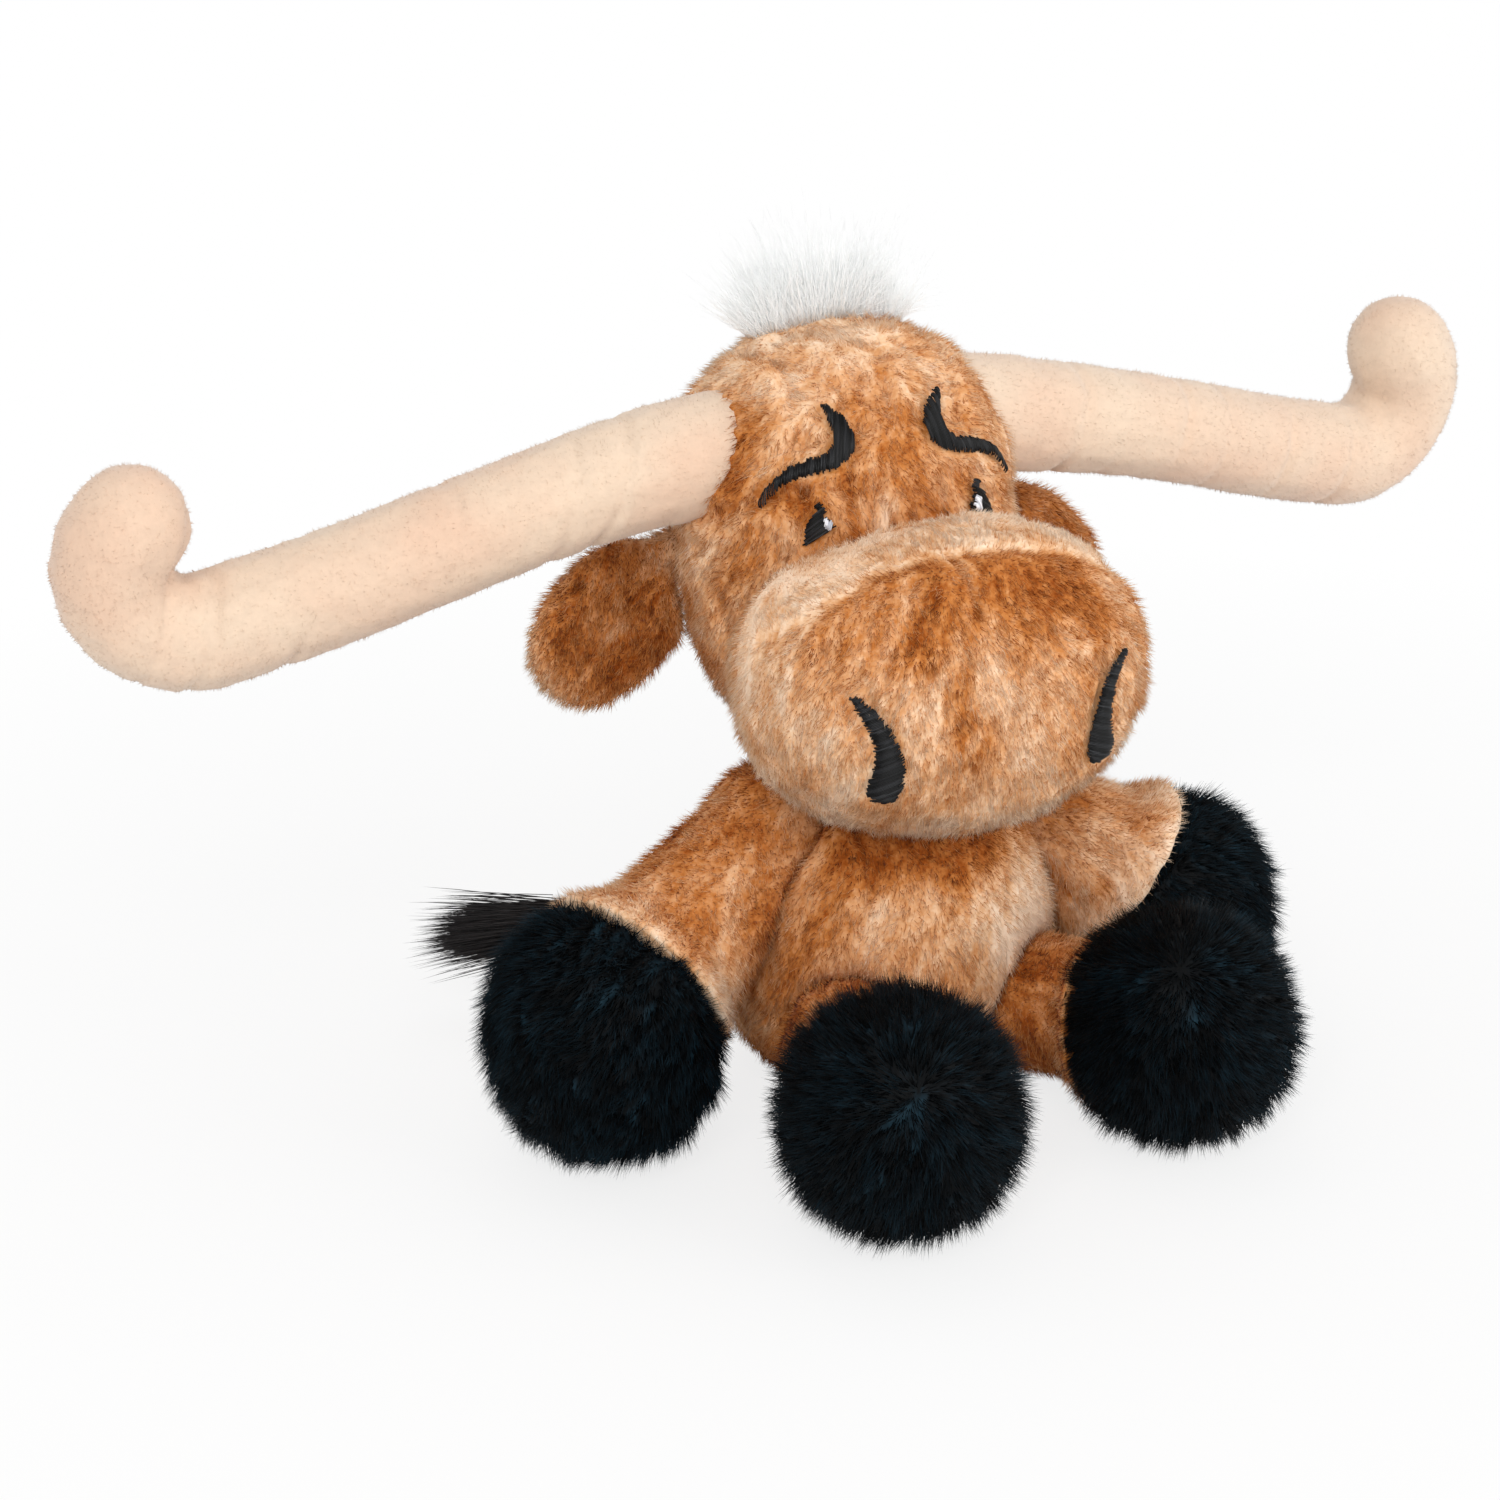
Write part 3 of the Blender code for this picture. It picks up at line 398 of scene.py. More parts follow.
def pile_body(skin, levels, lift, deep, comb, seed, zone=None, size=1.6, folds=()):
    """Turn a cloth skin into the soft body of its pile, which stands lift over the cloth in
    brushed locks. Its pile attribute says how high each place stands, its tint and zone."""
    shape = bmesh.new()
    shape.from_mesh(skin.data)
    for _ in range(levels):
        bmesh.ops.subdivide_edges(shape, edges=shape.edges[:], cuts=1, use_grid_fill=True, smooth=1.0)
    every_way = {"use_axis_x": True, "use_axis_y": True, "use_axis_z": True}
    bmesh.ops.smooth_vert(shape, verts=shape.verts[:], factor=0.5, **every_way)
    shape.normal_update()
    mesh = skin.data
    shape.to_mesh(mesh)
    shape.free()
    places, ups = surface(mesh)
    ways = laid(places, ups, comb, seed)
    locks = brushed(places, ways, size * MM, size * 1.8 * MM, seed + 7)
    soft = grain(places, 6.0 * MM, seed + 8)
    height = lift + deep * (locks + 0.6 * soft)
    if folds:
        height -= sunk(places, ups, folds, HEAD_BACK)
    places = places + ups * height[:, None]
    places[:, 2] = np.maximum(places[:, 2], 0.15 * MM)
    mesh.vertices.foreach_set("co", places.ravel())
    colours = np.ones((len(places), 4))
    colours[:, 0] = np.clip(0.62 + 0.42 * locks, 0.0, 1.0)
    colours[:, 1] = 0.5 + 0.14 * grain(places, 1.6 * MM, seed + 9)
    colours[:, 2] = np.clip(patches(places, ways, seed) + (zone(places, ups) if zone else 0.0), -1.2, 0.95)
    mesh.attributes.new("pile", "FLOAT_COLOR", "POINT").data.foreach_set("color", colours.ravel())
    mesh.shade_smooth()
    mesh.update()


def patches(points, ways, seed):
    """Darker and paler patches where the pile stands up or lies flat."""
    broad = brushed(points, ways, 9.0 * MM, 6.0 * MM, seed + 20)
    return 0.46 * broad + 0.23 * brushed(points, ways, 3.0 * MM, 3.0 * MM, seed + 21)


TAPER = (0.5, 0.46, 0.38)


def hair_mesh(name, roots, ups, ways, lengths, leans, widths, tints, zones, levels=1):
    """Tapered three-sided hairs. Each bends from its root towards its way. The pile
    attribute holds the place along the hair, its tint and its zone of colour."""
    count = len(roots)
    rows = np.arange(levels + 1) / levels
    line = [roots - ups * 0.5 * MM]
    for low, high in zip(rows, rows[1:]):
        lean = leans * (0.45 + 0.85 * (low + high) / 2.0)
        step = ups * np.cos(lean)[:, None] + ways * np.sin(lean)[:, None]
        line.append(line[-1] + step * (lengths / levels)[:, None])
    for row in line:
        row[:, 2] = np.maximum(row[:, 2], 0.4 * MM)
    across = unit(np.cross(ups, ways))
    third = unit(np.cross(across, ups * 0.6 + ways * 0.8))
    rings = []
    for row in range(levels):
        radius = widths * TAPER[row * len(TAPER) // levels]
        for angle in (0.5, 2.594, 4.689):
            rings.append(line[row] + (across * math.cos(angle) + third * math.sin(angle)) * radius[:, None])
    rings.append(line[-1])
    size = len(rings)
    places = np.stack(rings, axis=1).reshape(-1, 3)
    faces = [(0, 2, 1)]
    for row in range(levels - 1):
        for k in range(3):
            low, high = row * 3 + k, row * 3 + (k + 1) % 3
            faces += [(low, high, high + 3), (low, high + 3, low + 3)]
    last = (levels - 1) * 3
    faces += [(last + k, last + (k + 1) % 3, size - 1) for k in range(3)]
    faces = np.array(faces)
    corners = (faces[None] + (np.arange(count) * size)[:, None, None]).reshape(-1)
    mesh = bpy.data.meshes.new(name)
    mesh.vertices.add(len(places))
    mesh.vertices.foreach_set("co", places.ravel())
    mesh.loops.add(len(corners))
    mesh.loops.foreach_set("vertex_index", corners.astype(np.int32))
    mesh.polygons.add(len(corners) // 3)
    mesh.polygons.foreach_set("loop_start", np.arange(0, len(corners), 3, dtype=np.int32))
    mesh.polygons.foreach_set("use_smooth", np.ones(len(corners) // 3, bool))
    along = np.concatenate([np.repeat(rows[:-1], 3), [1.0]])
    colours = np.ones((count, size, 4))
    colours[:, :, 0] = 0.30 + 0.70 * along
    colours[:, :, 1] = tints[:, None]
    colours[:, :, 2] = zones[:, None]
    mesh.attributes.new("pile", "FLOAT_COLOR", "POINT").data.foreach_set("color", colours.ravel())
    cells = math.ceil(math.sqrt(count))
    spread = np.array([(0.12 + 0.3 * (k % 3), 0.1 + 0.8 * along[k]) for k in range(size)])
    spread[-1] = (0.42, 0.92)
    cell = np.stack((np.arange(count) % cells, np.arange(count) // cells), axis=1)
    uv = (spread[faces][None] + cell[:, None, None]) / cells
    mesh.uv_layers.new(name="OFBake").data.foreach_set("uv", uv.ravel())
    mesh.update(calc_edges=True)
    mesh.validate()
    return mesh


def grow_pile(name, skin, count, length, lean, width, comb, seed, keep=None, zone=None,
              stray=0.30, clump=0.35, tufts=14):
    """Pile over a skin. comb gives its way at each root, keep which roots stay and how tall
    they grow, zone the colour. Neighbours lean together in tufts, which share a tint."""
    rng = np.random.default_rng(seed)
    roots, ups = skin_points(skin, count, rng)
    if keep is not None:
        tall = keep(roots, ups)
        roots, ups, tall = roots[tall > 0.0], ups[tall > 0.0], tall[tall > 0.0]
    else:
        tall = np.ones(len(roots))
    count = len(roots)
    flow = laid(roots, ups, comb, seed)
    ways = flow + rng.normal(0.0, stray, (count, 3))
    ways = unit(ways - ups * np.sum(ways * ups, axis=1, keepdims=True))
    heads = rng.choice(count, max(1, count // tufts), replace=False)
    tree = KDTree(len(heads))
    for index, head in enumerate(heads):
        tree.insert(roots[head], index)
    tree.balance()
    nearest = np.array([tree.find(root)[1] for root in roots])
    drawn = roots[heads[nearest]] - roots
    drawn -= ups * np.sum(drawn * ups, axis=1, keepdims=True)
    lengths = length * tall * rng.uniform(0.70, 1.15, count)
    leans = lean + rng.normal(0.0, 0.16, count) + rng.normal(0.0, 0.14, len(heads))[nearest]
    leans = np.clip(leans, 0.05, 1.45)
    ways = unit(ways + drawn * (clump / (length * 0.6)))
    tints = 0.5 + rng.normal(0.0, 0.10, len(heads))[nearest] + rng.normal(0.0, 0.10, count)
    zones = np.clip(patches(roots, flow, seed) + (zone(roots, ups) if zone else 0.0), -1.2, 0.95)
    widths = width * rng.uniform(0.8, 1.2, count)
    return link(name, hair_mesh(name, roots, ups, ways, lengths, leans, widths, tints, zones))


def in_head(points):
    """Points in the head's own axes: out to its left, back and up from its middle."""
    return (points - HEAD_MIDDLE) @ HEAD_TURN


TAN_PILE = Look(
    "tan_pile", Roughness=0.85, Specular_IOR_Level=0.08, Sheen_Weight=0.06, Sheen_Roughness=0.5
)
along, tint, zone = TAN_PILE.pile()
fibre = TAN_PILE.noise(900.0, 2.0, 0.6)
tone = 0.35 + along * 0.38 + (tint - 0.5) * 0.75 - zone * 0.36 + (fibre - 0.5) * 0.42
TAN_STOPS = (
    (0.0, (0.11, 0.022, 0.003, 1.0)),
    (0.2, (0.33, 0.080, 0.009, 1.0)),
    (0.4, (0.54, 0.200, 0.050, 1.0)),
    (0.6, (0.70, 0.36, 0.165, 1.0)),
    (0.8, (0.83, 0.55, 0.34, 1.0)),
    (1.0, (0.93, 0.72, 0.54, 1.0)),
)
TAN_PILE.set("Base Color", TAN_PILE.node("ShaderNodeValToRGB", {"stops": TAN_STOPS}, {"Fac": tone}))

PILE = 4.3 * MM
PILE_LIFT = 1.3 * MM
PILE_WIDTH = 0.28 * MM

head_skin = stuffed_skin("head_skin", "head_filling", 2.3 * MM, 16, 0.2 * MM)
muzzle_skin = stuffed_skin("muzzle_skin", "muzzle_filling", 2.3 * MM, 16, 0.2 * MM)
SIDES = (("right", -1.0), ("left", 1.0))
HORN_RING = 58.0 * MM
HORN_NEXT_RING = 72.0 * MM
HORN_SET_DEEP = 35.0 * MM
horn_skins = {}
for side, sign in SIDES:
    horn_skins[side] = stuffed_skin("horn_skin_" + side, "horn_filling_" + side, 2.5 * MM, 6, 1.6 * MM)
# Each horn's root: the middle of a ring of its cloth, the way into the head, and the ring's
# radius. The cloth past that ring is drawn deeper into the head.
horn_roots = []
for side, sign in SIDES:
    skin = horn_skins[side]
    cloth = np.array([vert.co for vert in skin.data.vertices])
    ring, next_ring = (
        cloth[np.abs(cloth[:, 0] * sign - out) < 3.0 * MM] for out in (HORN_RING, HORN_NEXT_RING)
    )
    hub = np.mean(ring, axis=0)
    inward = hub - np.mean(next_ring, axis=0)
    inward /= np.linalg.norm(inward)
    girth = np.mean([np.linalg.norm(np.cross(place - hub, inward)) for place in ring])
    horn_roots.append((hub, inward, girth))
    for vert in skin.data.vertices:
        out = np.array(vert.co) - hub
        deep = out @ inward
        spoke = out - inward * deep
        size = np.linalg.norm(spoke)
        if deep > 0.0 and size > girth * 0.35:
            spoke *= girth * 1.02 / size
        if deep > 0.0:
            deep += 12.0 * MM * min(1.0, deep / (8.0 * MM))
            vert.co = Vector(hub + inward * deep + spoke)
stitches = {}
for kind in ("brow", "eye", "nostril"):
    for side in ("right", "left"):
        stitches[kind + "_" + side] = frame["nodes"][kind + "_" + side]
face_stitches = [name for name in stitches if not name.startswith("nostril")]


def clear_of_stitches(points, ups, names):
    """1 for roots away from the named stitching, and 0 for roots that it covers."""
    room = np.ones(len(points))
    for name in names:
        tree = BVHTree.FromObject(stitches[name], bpy.context.evaluated_depsgraph_get())
        for index in np.flatnonzero(near_to(points, stitches[name], 4.0 * MM)):
            point, up = points[index], ups[index]
            if tree.ray_cast(Vector(point - up * 1.5 * MM), Vector(up), 5.0 * MM)[0] is not None:
                room[index] = 0.0
            elif room[index] and (near := tree.find_nearest(Vector(point), 1.6 * MM)[3]) is not None:
                room[index] = min(room[index], 0.55 + 0.45 * near / (1.6 * MM))
    return room


def head_keep(points, ups):
    tall = (depth_in(points, muzzle_skin) < 0.8 * MM).astype(float)
    for hub, inward, girth in horn_roots:
        out = points - hub
        deep = out @ inward
        spoke = np.linalg.norm(out - np.outer(deep, inward), axis=1)
        tall *= (spoke > girth - 0.8 * MM) | (deep > HORN_SET_DEEP)
    own = in_head(points)
    face = (own[:, 1] < -10.0 * MM) & (own[:, 2] > -45.0 * MM)
    room = np.ones(len(points))
    room[face] = clear_of_stitches(points[face], ups[face], face_stitches)
    return tall * room


def head_comb(points, ups):
    own = in_head(points)
    way = np.stack((own[:, 0] * 6.0, np.full(len(own), 0.25), np.full(len(own), -0.8)), axis=1)
    return way @ HEAD_TURN.T


def head_zone(points, ups):
    """Darker at the cheeks and at the near temple, with painted shade in the fold valleys above and under the
    near brow; paler over the crown.
    """
    own = in_head(points) / MM
    x, y, z = own.T
    cheek = np.exp(-(((z + 45.0) / 22.0) ** 2) - ((y + 18.0) / 30.0) ** 2)
    # The near temple's brown deepened with painted shade in the fold valley above the near brow
    temple = np.exp(-(((x + 42.0) / 9.0) ** 2) - ((z - 4.0) / 14.0) ** 2) * (y < 0.0)
    # Painted shade in the fold valley under the near brow
    under = np.exp(-(((x + 30.0) / 14.0) ** 2) - ((z + 12.0) / 6.0) ** 2) * (y < 0.0)
    bridge = np.exp(-(((x - 4.0) / 18.0) ** 2) - ((z + 6.0) / 12.0) ** 2) * (y < 0.0)
    crown = np.clip((z - 12.0) / 14.0, 0.0, 1.0)
    return 0.45 * cheek + 0.7 * temple + 0.7 * under + 0.12 * bridge - 0.35 * crown - 0.10


stuff(head_skin, 1.2 * MM, *horn_skins.values(), *(stitches[name] for name in face_stitches))
stuff(muzzle_skin, 0.7 * MM, stitches["nostril_right"], stitches["nostril_left"])
# The plush swells round the seam where each horn is set in
for vert in head_skin.data.vertices:
    for hub, inward, girth in horn_roots:
        out = np.array(vert.co) - hub
        gap = np.linalg.norm(out - inward * (out @ inward)) - girth
        if out @ inward < HORN_SET_DEEP and gap > -2.0 * MM:
            vert.co += vert.normal * 2.2 * MM * math.exp(-((gap / (5.0 * MM)) ** 2))
# Each fold's path across the face, out and up from the head's middle, its depth and width
HEAD_FOLDS = (
    (((-27.0, -10.0), (-35.0, -10.0), (-42.0, -14.0), (-49.0, -18.0)), 2.6, 2.6),
    (((-35.0, 15.0), (-39.0, 4.0), (-43.0, -6.0)), 1.6, 5.0),
    (((18.0, 12.0), (20.0, 4.0), (21.0, 0.0)), 2.2, 3.2),
    (((26.0, -12.0), (28.0, -20.0)), 1.6, 3.0),
    (((-3.0, 18.0), (-8.0, 2.0), (-14.0, -12.0)), 0.9, 3.0),
    (((-30.0, 29.0), (-22.0, 22.0), (-12.0, 20.0)), 1.2, 3.0),
)
pile_body(head_skin, 1, PILE_LIFT, 0.42 * MM, head_comb, 11, head_zone, 1.6, HEAD_FOLDS)
head_pile = grow_pile(
    "head_pile", head_skin, 48000, PILE, 1.02, PILE_WIDTH, head_comb, 11, head_keep, head_zone
)
head_skin.data.materials.append(TAN_PILE.material)
head_pile.data.materials.append(TAN_PILE.material)
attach(head_skin, "head")
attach(head_pile, "head")
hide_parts("head_cover", "head_filling")


# Muzzle: a deep oval pouch of the same plush. Its front panel is combed down and apart, and
# the paler gusset round it stands outwards along the seam.

SEAM_OUT = 61.0


def in_muzzle(points):
    """Places in millimetres from the muzzle's middle: out, back and up."""
    return in_head(points) / MM - np.array((0.0, -63.0, -60.0))


def gusset(points):
    """0 on the muzzle's front panel, 1 on the band round it, past the seam."""
    x, _, z = in_muzzle(points).T
    panel = np.sqrt((x / SEAM_OUT) ** 2 + (np.maximum(z, 0.0) / 37.5) ** 2)
    return np.clip((panel - 0.98) / 0.05, 0.0, 1.0)


def muzzle_keep(points, ups):
    tall = (depth_in(points, head_skin) < 0.5 * MM).astype(float)
    own = in_muzzle(points)
    front = own[:, 1] < -7.0
    room = np.ones(len(points))
    room[front] = clear_of_stitches(points[front], ups[front], ["nostril_right", "nostril_left"])
    return tall * room * (1.0 - 0.25 * gusset(points))


def muzzle_comb(points, ups):
    x, _, z = in_muzzle(points).T
    band = gusset(points)[:, None]
    front = np.stack((x / 60.0 * 0.7, np.zeros(len(x)), np.full(len(x), -0.9)), axis=1)
    side = np.stack((x / 60.0 * 0.6, np.full(len(x), -0.1), z / 45.0), axis=1)
    return (front * (1.0 - band) + side * band) @ HEAD_TURN.T


def muzzle_zone(points, ups):
    """Pale on the band and the lips, brown under the seam across the upper front."""
    x, _, z = in_muzzle(points).T
    band = gusset(points)
    brown = 1.1 * np.exp(-(((z - 27.0) / 13.0) ** 2) - ((x - 4.0) / 42.0) ** 2)
    brown += 0.45 * np.exp(-(((z - 20.0) / 9.0) ** 2) - ((x + 36.0) / 16.0) ** 2)
    brown += 0.30 * np.exp(-(((z - 0.0) / 12.0) ** 2) - ((x - 38.0) / 10.0) ** 2)
    lips = np.clip((-z - 14.0) / 20.0, 0.0, 1.0)
    lips += np.exp(-(((x + 50.0) / 14.0) ** 2) - ((z + 8.0) / 16.0) ** 2)
    rim = np.clip((z + 20.0) / 20.0, 0.0, 1.0)
    return (brown - 0.18 - 0.42 * lips) * (1.0 - band) - 0.66 * band * rim


# The seam between the band and the front panel, a small crease, and the dimples by the nostrils
turns = [turn * math.pi / 24.0 for turn in range(25)]
SEAM = [(SEAM_OUT * math.cos(turn), -60.0 + 37.0 * math.sin(turn)) for turn in turns]
MUZZLE_FOLDS = (
    (SEAM, 1.1, 1.3),
    (((-5.0, -21.0), (-4.0, -28.0), (-3.0, -37.0)), 1.3, 1.3),
    (((-43.0, -52.0), (-40.0, -61.0), (-37.0, -69.0)), 1.2, 1.6),
    (((35.0, -52.0), (33.0, -61.0), (31.0, -69.0)), 1.2, 1.6),
    (((-52.0, -60.0), (-48.0, -68.0)), 0.8, 2.2),
)
# The muzzle's top lies lower on the near side, under the near eye
for vert in muzzle_skin.data.vertices:
    out, _, up = in_head(np.array(vert.co)[None])[0] / MM
    drop = 2.6 * min(1.0, max(0.1, 1.0 - out / 18.0)) + 1.8 * math.exp(-(((out + 25.0) / 13.0) ** 2))
    drop *= min(1.0, max(0.0, (up + 46.0) / 24.0))
    vert.co -= Vector(HEAD_TURN @ np.array((0.0, 0.0, drop))) * MM
pile_body(muzzle_skin, 1, PILE_LIFT, 0.40 * MM, muzzle_comb, 12, muzzle_zone, 1.6, MUZZLE_FOLDS)
muzzle_pile = grow_pile(
    "muzzle_pile", muzzle_skin, 45500, PILE, 1.02, PILE_WIDTH, muzzle_comb, 12, muzzle_keep, muzzle_zone
)
muzzle_pile.data.materials.append(TAN_PILE.material)
muzzle_skin.data.materials.append(TAN_PILE.material)
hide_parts("muzzle_cover", "muzzle_filling")
for piece in (muzzle_skin, muzzle_pile):
    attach(piece, "head")


# Horns: long tubes of cream velour, stuffed hard, with a short upright nap. The cloth
# wrinkles a little where the tube bends, and blushes in soft patches.

VELOUR = Look(
    "horn_velour", Roughness=0.85, Specular_IOR_Level=0.2, Sheen_Weight=0.35, Sheen_Roughness=0.5
)
blush = VELOUR.range(VELOUR.noise(22.0, 3.0, 0.5), 0.40, 0.66)
cream = VELOUR.mix(blush, (0.74, 0.575, 0.435, 1.0), (0.72, 0.505, 0.37, 1.0))
fleck = VELOUR.range(VELOUR.noise(300.0, 3.0, 0.7), 0.30, 0.70, 0.95, 1.03)
VELOUR.set("Base Color", VELOUR.shaded(cream, fleck))
VELOUR.bump(VELOUR.noise(700.0, 2.0, 0.6), 0.25, 0.3 * MM)

# Where each crease lies out along the horn, and how deep it is in millimetres
HORN_CREASES = {
    "right": ((-0.072, 1.3), (-0.086, 0.9), (-0.118, 0.7), (-0.150, 1.1), (-0.176, 1.0), (-0.186, 1.3)),
    "left": ((0.072, 1.2), (0.088, 0.9), (0.112, 1.4), (0.128, 0.8), (0.158, 1.1), (0.186, 1.0)),
}


def horn_comb(points, ups):
    return np.stack((np.sign(points[:, 0]), np.zeros(len(points)), np.zeros(len(points))), axis=1)


def horn_keep(points, ups):
    return (depth_in(points, head_skin) < 0.5 * MM).astype(float)


for side, skin in horn_skins.items():
    pile_body(skin, 1, 0.4 * MM, 0.14 * MM, horn_comb, 31, None, 2.0)
    places, ups = surface(skin.data)
    sink = np.zeros(len(places))
    for place, deep in HORN_CREASES[side]:
        slant = place + (places[:, 2] - 0.19) * 0.25 * deep + 0.8 * MM * grain(places, 7.0 * MM, 35)
        fade = np.clip(0.6 + 0.9 * grain(places, 14.0 * MM, 36 + deep), 0.0, 1.0)
        sink += deep * fade * MM * np.exp(-(((places[:, 0] - slant) / (1.9 * MM)) ** 2))
    skin.data.vertices.foreach_set("co", (places - ups * sink[:, None]).ravel())
    skin.data.update()
    nap = grow_pile(
        "horn_nap_" + side, skin, 14000, 1.5 * MM, 0.55, 0.34 * MM, horn_comb, 32, horn_keep,
        stray=0.5, clump=0.1,
    )
    nap.data.materials.append(VELOUR.material)
    skin.data.materials.append(VELOUR.material)
    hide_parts("horn_cover_" + side, "horn_filling_" + side)
    for piece in (skin, nap):
        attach(piece, "head")


# Ears: two layers of plush sewn round the edge and turned, flat and a little cupped. They
# hang from the head's sides under the horns.

joints = {joint["name"]: joint for joint in frame["joints"]}


def centre_of(node):
    low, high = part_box(node)
    return (low + high) / 2.0


for side, sign in SIDES:
    skin = stuffed_skin("ear_skin_" + side, "ear_" + side, 2.0 * MM, 8, -2.4 * MM)
    root = np.array(joints["ear_flap_" + side]["pos_m"])
    middle = np.array(centre_of("ear_" + side))
    reach = unit((middle - root)[None])[0]
    forward = -HEAD_BACK
    for vert in skin.data.vertices:
        out = np.array(vert.co) - middle
        along = float(out @ reach) / (24.0 * MM)
        side_way = float(out @ np.cross(forward, reach)) / (16.0 * MM)
        cup = math.exp(-(along ** 2) * 1.2 - side_way ** 2 * 1.6)
        vert.co += Vector(forward) * (-3.2 * MM * cup)
        to_head = max(0.0, float(out @ np.array((-sign, 0.0, 0.0))) - 8.0 * MM)
        vert.co.x -= sign * 0.22 * to_head
    skin.data.update()

    def ear_comb(points, ups):
        return np.tile(reach, (len(points), 1)) + np.array((0.0, 0.0, -0.35))

    def ear_keep(points, ups):
        return (depth_in(points, head_skin, horn_skins[side]) < 0.5 * MM).astype(float)

    def ear_zone(points, ups):
        """Browner on the inner face, paler round the sewn edge."""
        out = points - middle
        flat = out - np.outer(out @ forward, forward)
        rim = np.linalg.norm(flat, axis=1)
        face = np.clip(ups @ forward, 0.0, 1.0)
        return 0.1 + 0.6 * face - 0.40 * np.clip((rim - 19.0 * MM) / (8.0 * MM), 0.0, 1.0)

    pile_body(skin, 1, PILE_LIFT, 0.40 * MM, ear_comb, 41, ear_zone)
    pile = grow_pile(
        "ear_pile_" + side, skin, 12000, PILE, 0.95, PILE_WIDTH, ear_comb, 41, ear_keep, ear_zone
    )
    skin.data.materials.append(TAN_PILE.material)
    pile.data.materials.append(TAN_PILE.material)
    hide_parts("ear_" + side)
    for piece in (skin, pile):
        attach(piece, "ear_" + side)


# Torso: a pear-shaped plush bag that sits flat on the table, combed down, with paler pile
# in the middle of the chest and belly.

TAN_CLOTH = Look("tan_cloth", Roughness=0.9, Specular_IOR_Level=0.1)
weave = TAN_CLOTH.range(TAN_CLOTH.noise(900.0, 2.0, 0.6), 0.3, 0.7)
TAN_CLOTH.set("Base Color", TAN_CLOTH.mix(weave, (0.36, 0.15, 0.05, 1.0), (0.22, 0.075, 0.02, 1.0)))
TAN_CLOTH.bump(TAN_CLOTH.noise(900.0, 2.0, 0.6), 0.6, 0.4 * MM)
torso_skin = stuffed_skin("torso_skin", "torso_filling", 2.4 * MM, 12, 0.2 * MM)


def torso_comb(points, ups):
    return np.stack((points[:, 0] * 5.0, np.zeros(len(points)), np.full(len(points), -1.0)), axis=1)


def torso_zone(points, ups):
    """Pale in the middle of the chest, with painted shadow under the chin, and darker low on the belly."""
    own = points / MM
    front = np.clip(-own[:, 1] / 25.0, 0.0, 1.0)
    chest = np.exp(-((own[:, 0] - 25.0) / 19.0) ** 2) * np.exp(-((own[:, 2] - 48.0) / 23.0) ** 2)
    chest *= front
    # Painted shadow on the chest under the chin
    chin = np.clip((own[:, 2] - 68.0) / 11.0, 0.0, 1.0) * front
    flank = np.exp(-((own[:, 0] + 34.0) / 14.0) ** 2)
    low = np.clip((24.0 - own[:, 2]) / 20.0, 0.0, 1.0)
    return -1.7 * chest + 0.95 * chin + 0.15 * flank + 0.4 * low + 0.1


def torso_keep(points, ups):
    tall = (depth_in(points, head_skin, muzzle_skin) < 0.5 * MM).astype(float)
    flat = np.clip((points[:, 2] - 0.4 * MM) / (4.0 * MM), 0.0, 1.0)
    return tall * np.where(flat > 0.05, 0.4 + 0.6 * flat, 0.0)


stuff(torso_skin, 1.5 * MM)
pile_body(torso_skin, 1, PILE_LIFT, 0.50 * MM, torso_comb, 13, torso_zone, 1.8)
torso_pile = grow_pile(
    "torso_pile", torso_skin, 40000, PILE, 1.0, PILE_WIDTH, torso_comb, 13, torso_keep, torso_zone
)
torso_pile.data.materials.append(TAN_PILE.material)
torso_skin.data.materials.append(TAN_PILE.material)
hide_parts("torso_cover", "torso_filling")
for piece in (torso_skin, torso_pile):
    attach(piece, "torso")
neck_skin = stuffed_skin("neck_skin", "neck_filling", 2.0 * MM, 4, 0.0)
neck_skin.data.materials.append(TAN_CLOTH.material)
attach(neck_skin, "neck")
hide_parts("neck_filling")


# Arms and legs: tubes of tan plush sewn to round hooves of long black plush, stuffed
# together. The hoof's pile sprays out from a whorl on its end and hangs over the seam.

HOOF_FUR = Look("hoof_fur", Roughness=0.6, Specular_IOR_Level=0.11)
along, tint, _ = HOOF_FUR.pile()
# Black pile whose tips turn teal-blue: the fibre's blue-black, with painted sheen along the tips
BLACK_PILE_SHEEN_STOPS = (
    (0.0, (0.0003, 0.0004, 0.0005, 1.0)),
    (0.65, (0.0008, 0.0016, 0.0023, 1.0)),
    (1.0, (0.006, 0.021, 0.032, 1.0)),
)
black = HOOF_FUR.node("ShaderNodeValToRGB", {"stops": BLACK_PILE_SHEEN_STOPS}, {"Fac": along})
HOOF_FUR.set("Base Color", HOOF_FUR.shaded(black, HOOF_FUR.range(tint, 0.30, 0.80, 0.04, 2.9)))


def half_skin(name, whole, place, way, grow):
    """The part of a closed skin on the far side of a plane, closed again across the cut."""
    shape = bmesh.new()
    shape.from_mesh(whole.data)
    geometry = shape.verts[:] + shape.edges[:] + shape.faces[:]
    bmesh.ops.bisect_plane(shape, geom=geometry, plane_co=place, plane_no=way, clear_inner=True)
    edges = [edge for edge in shape.edges if edge.is_boundary]
    bmesh.ops.holes_fill(shape, edges=edges, sides=0)
    shape.normal_update()
    for vert in shape.verts:
        vert.co += vert.normal * grow
    mesh = bpy.data.meshes.new(name)
    shape.to_mesh(mesh)
    shape.free()
    mesh.shade_smooth()
    return link(name, mesh)
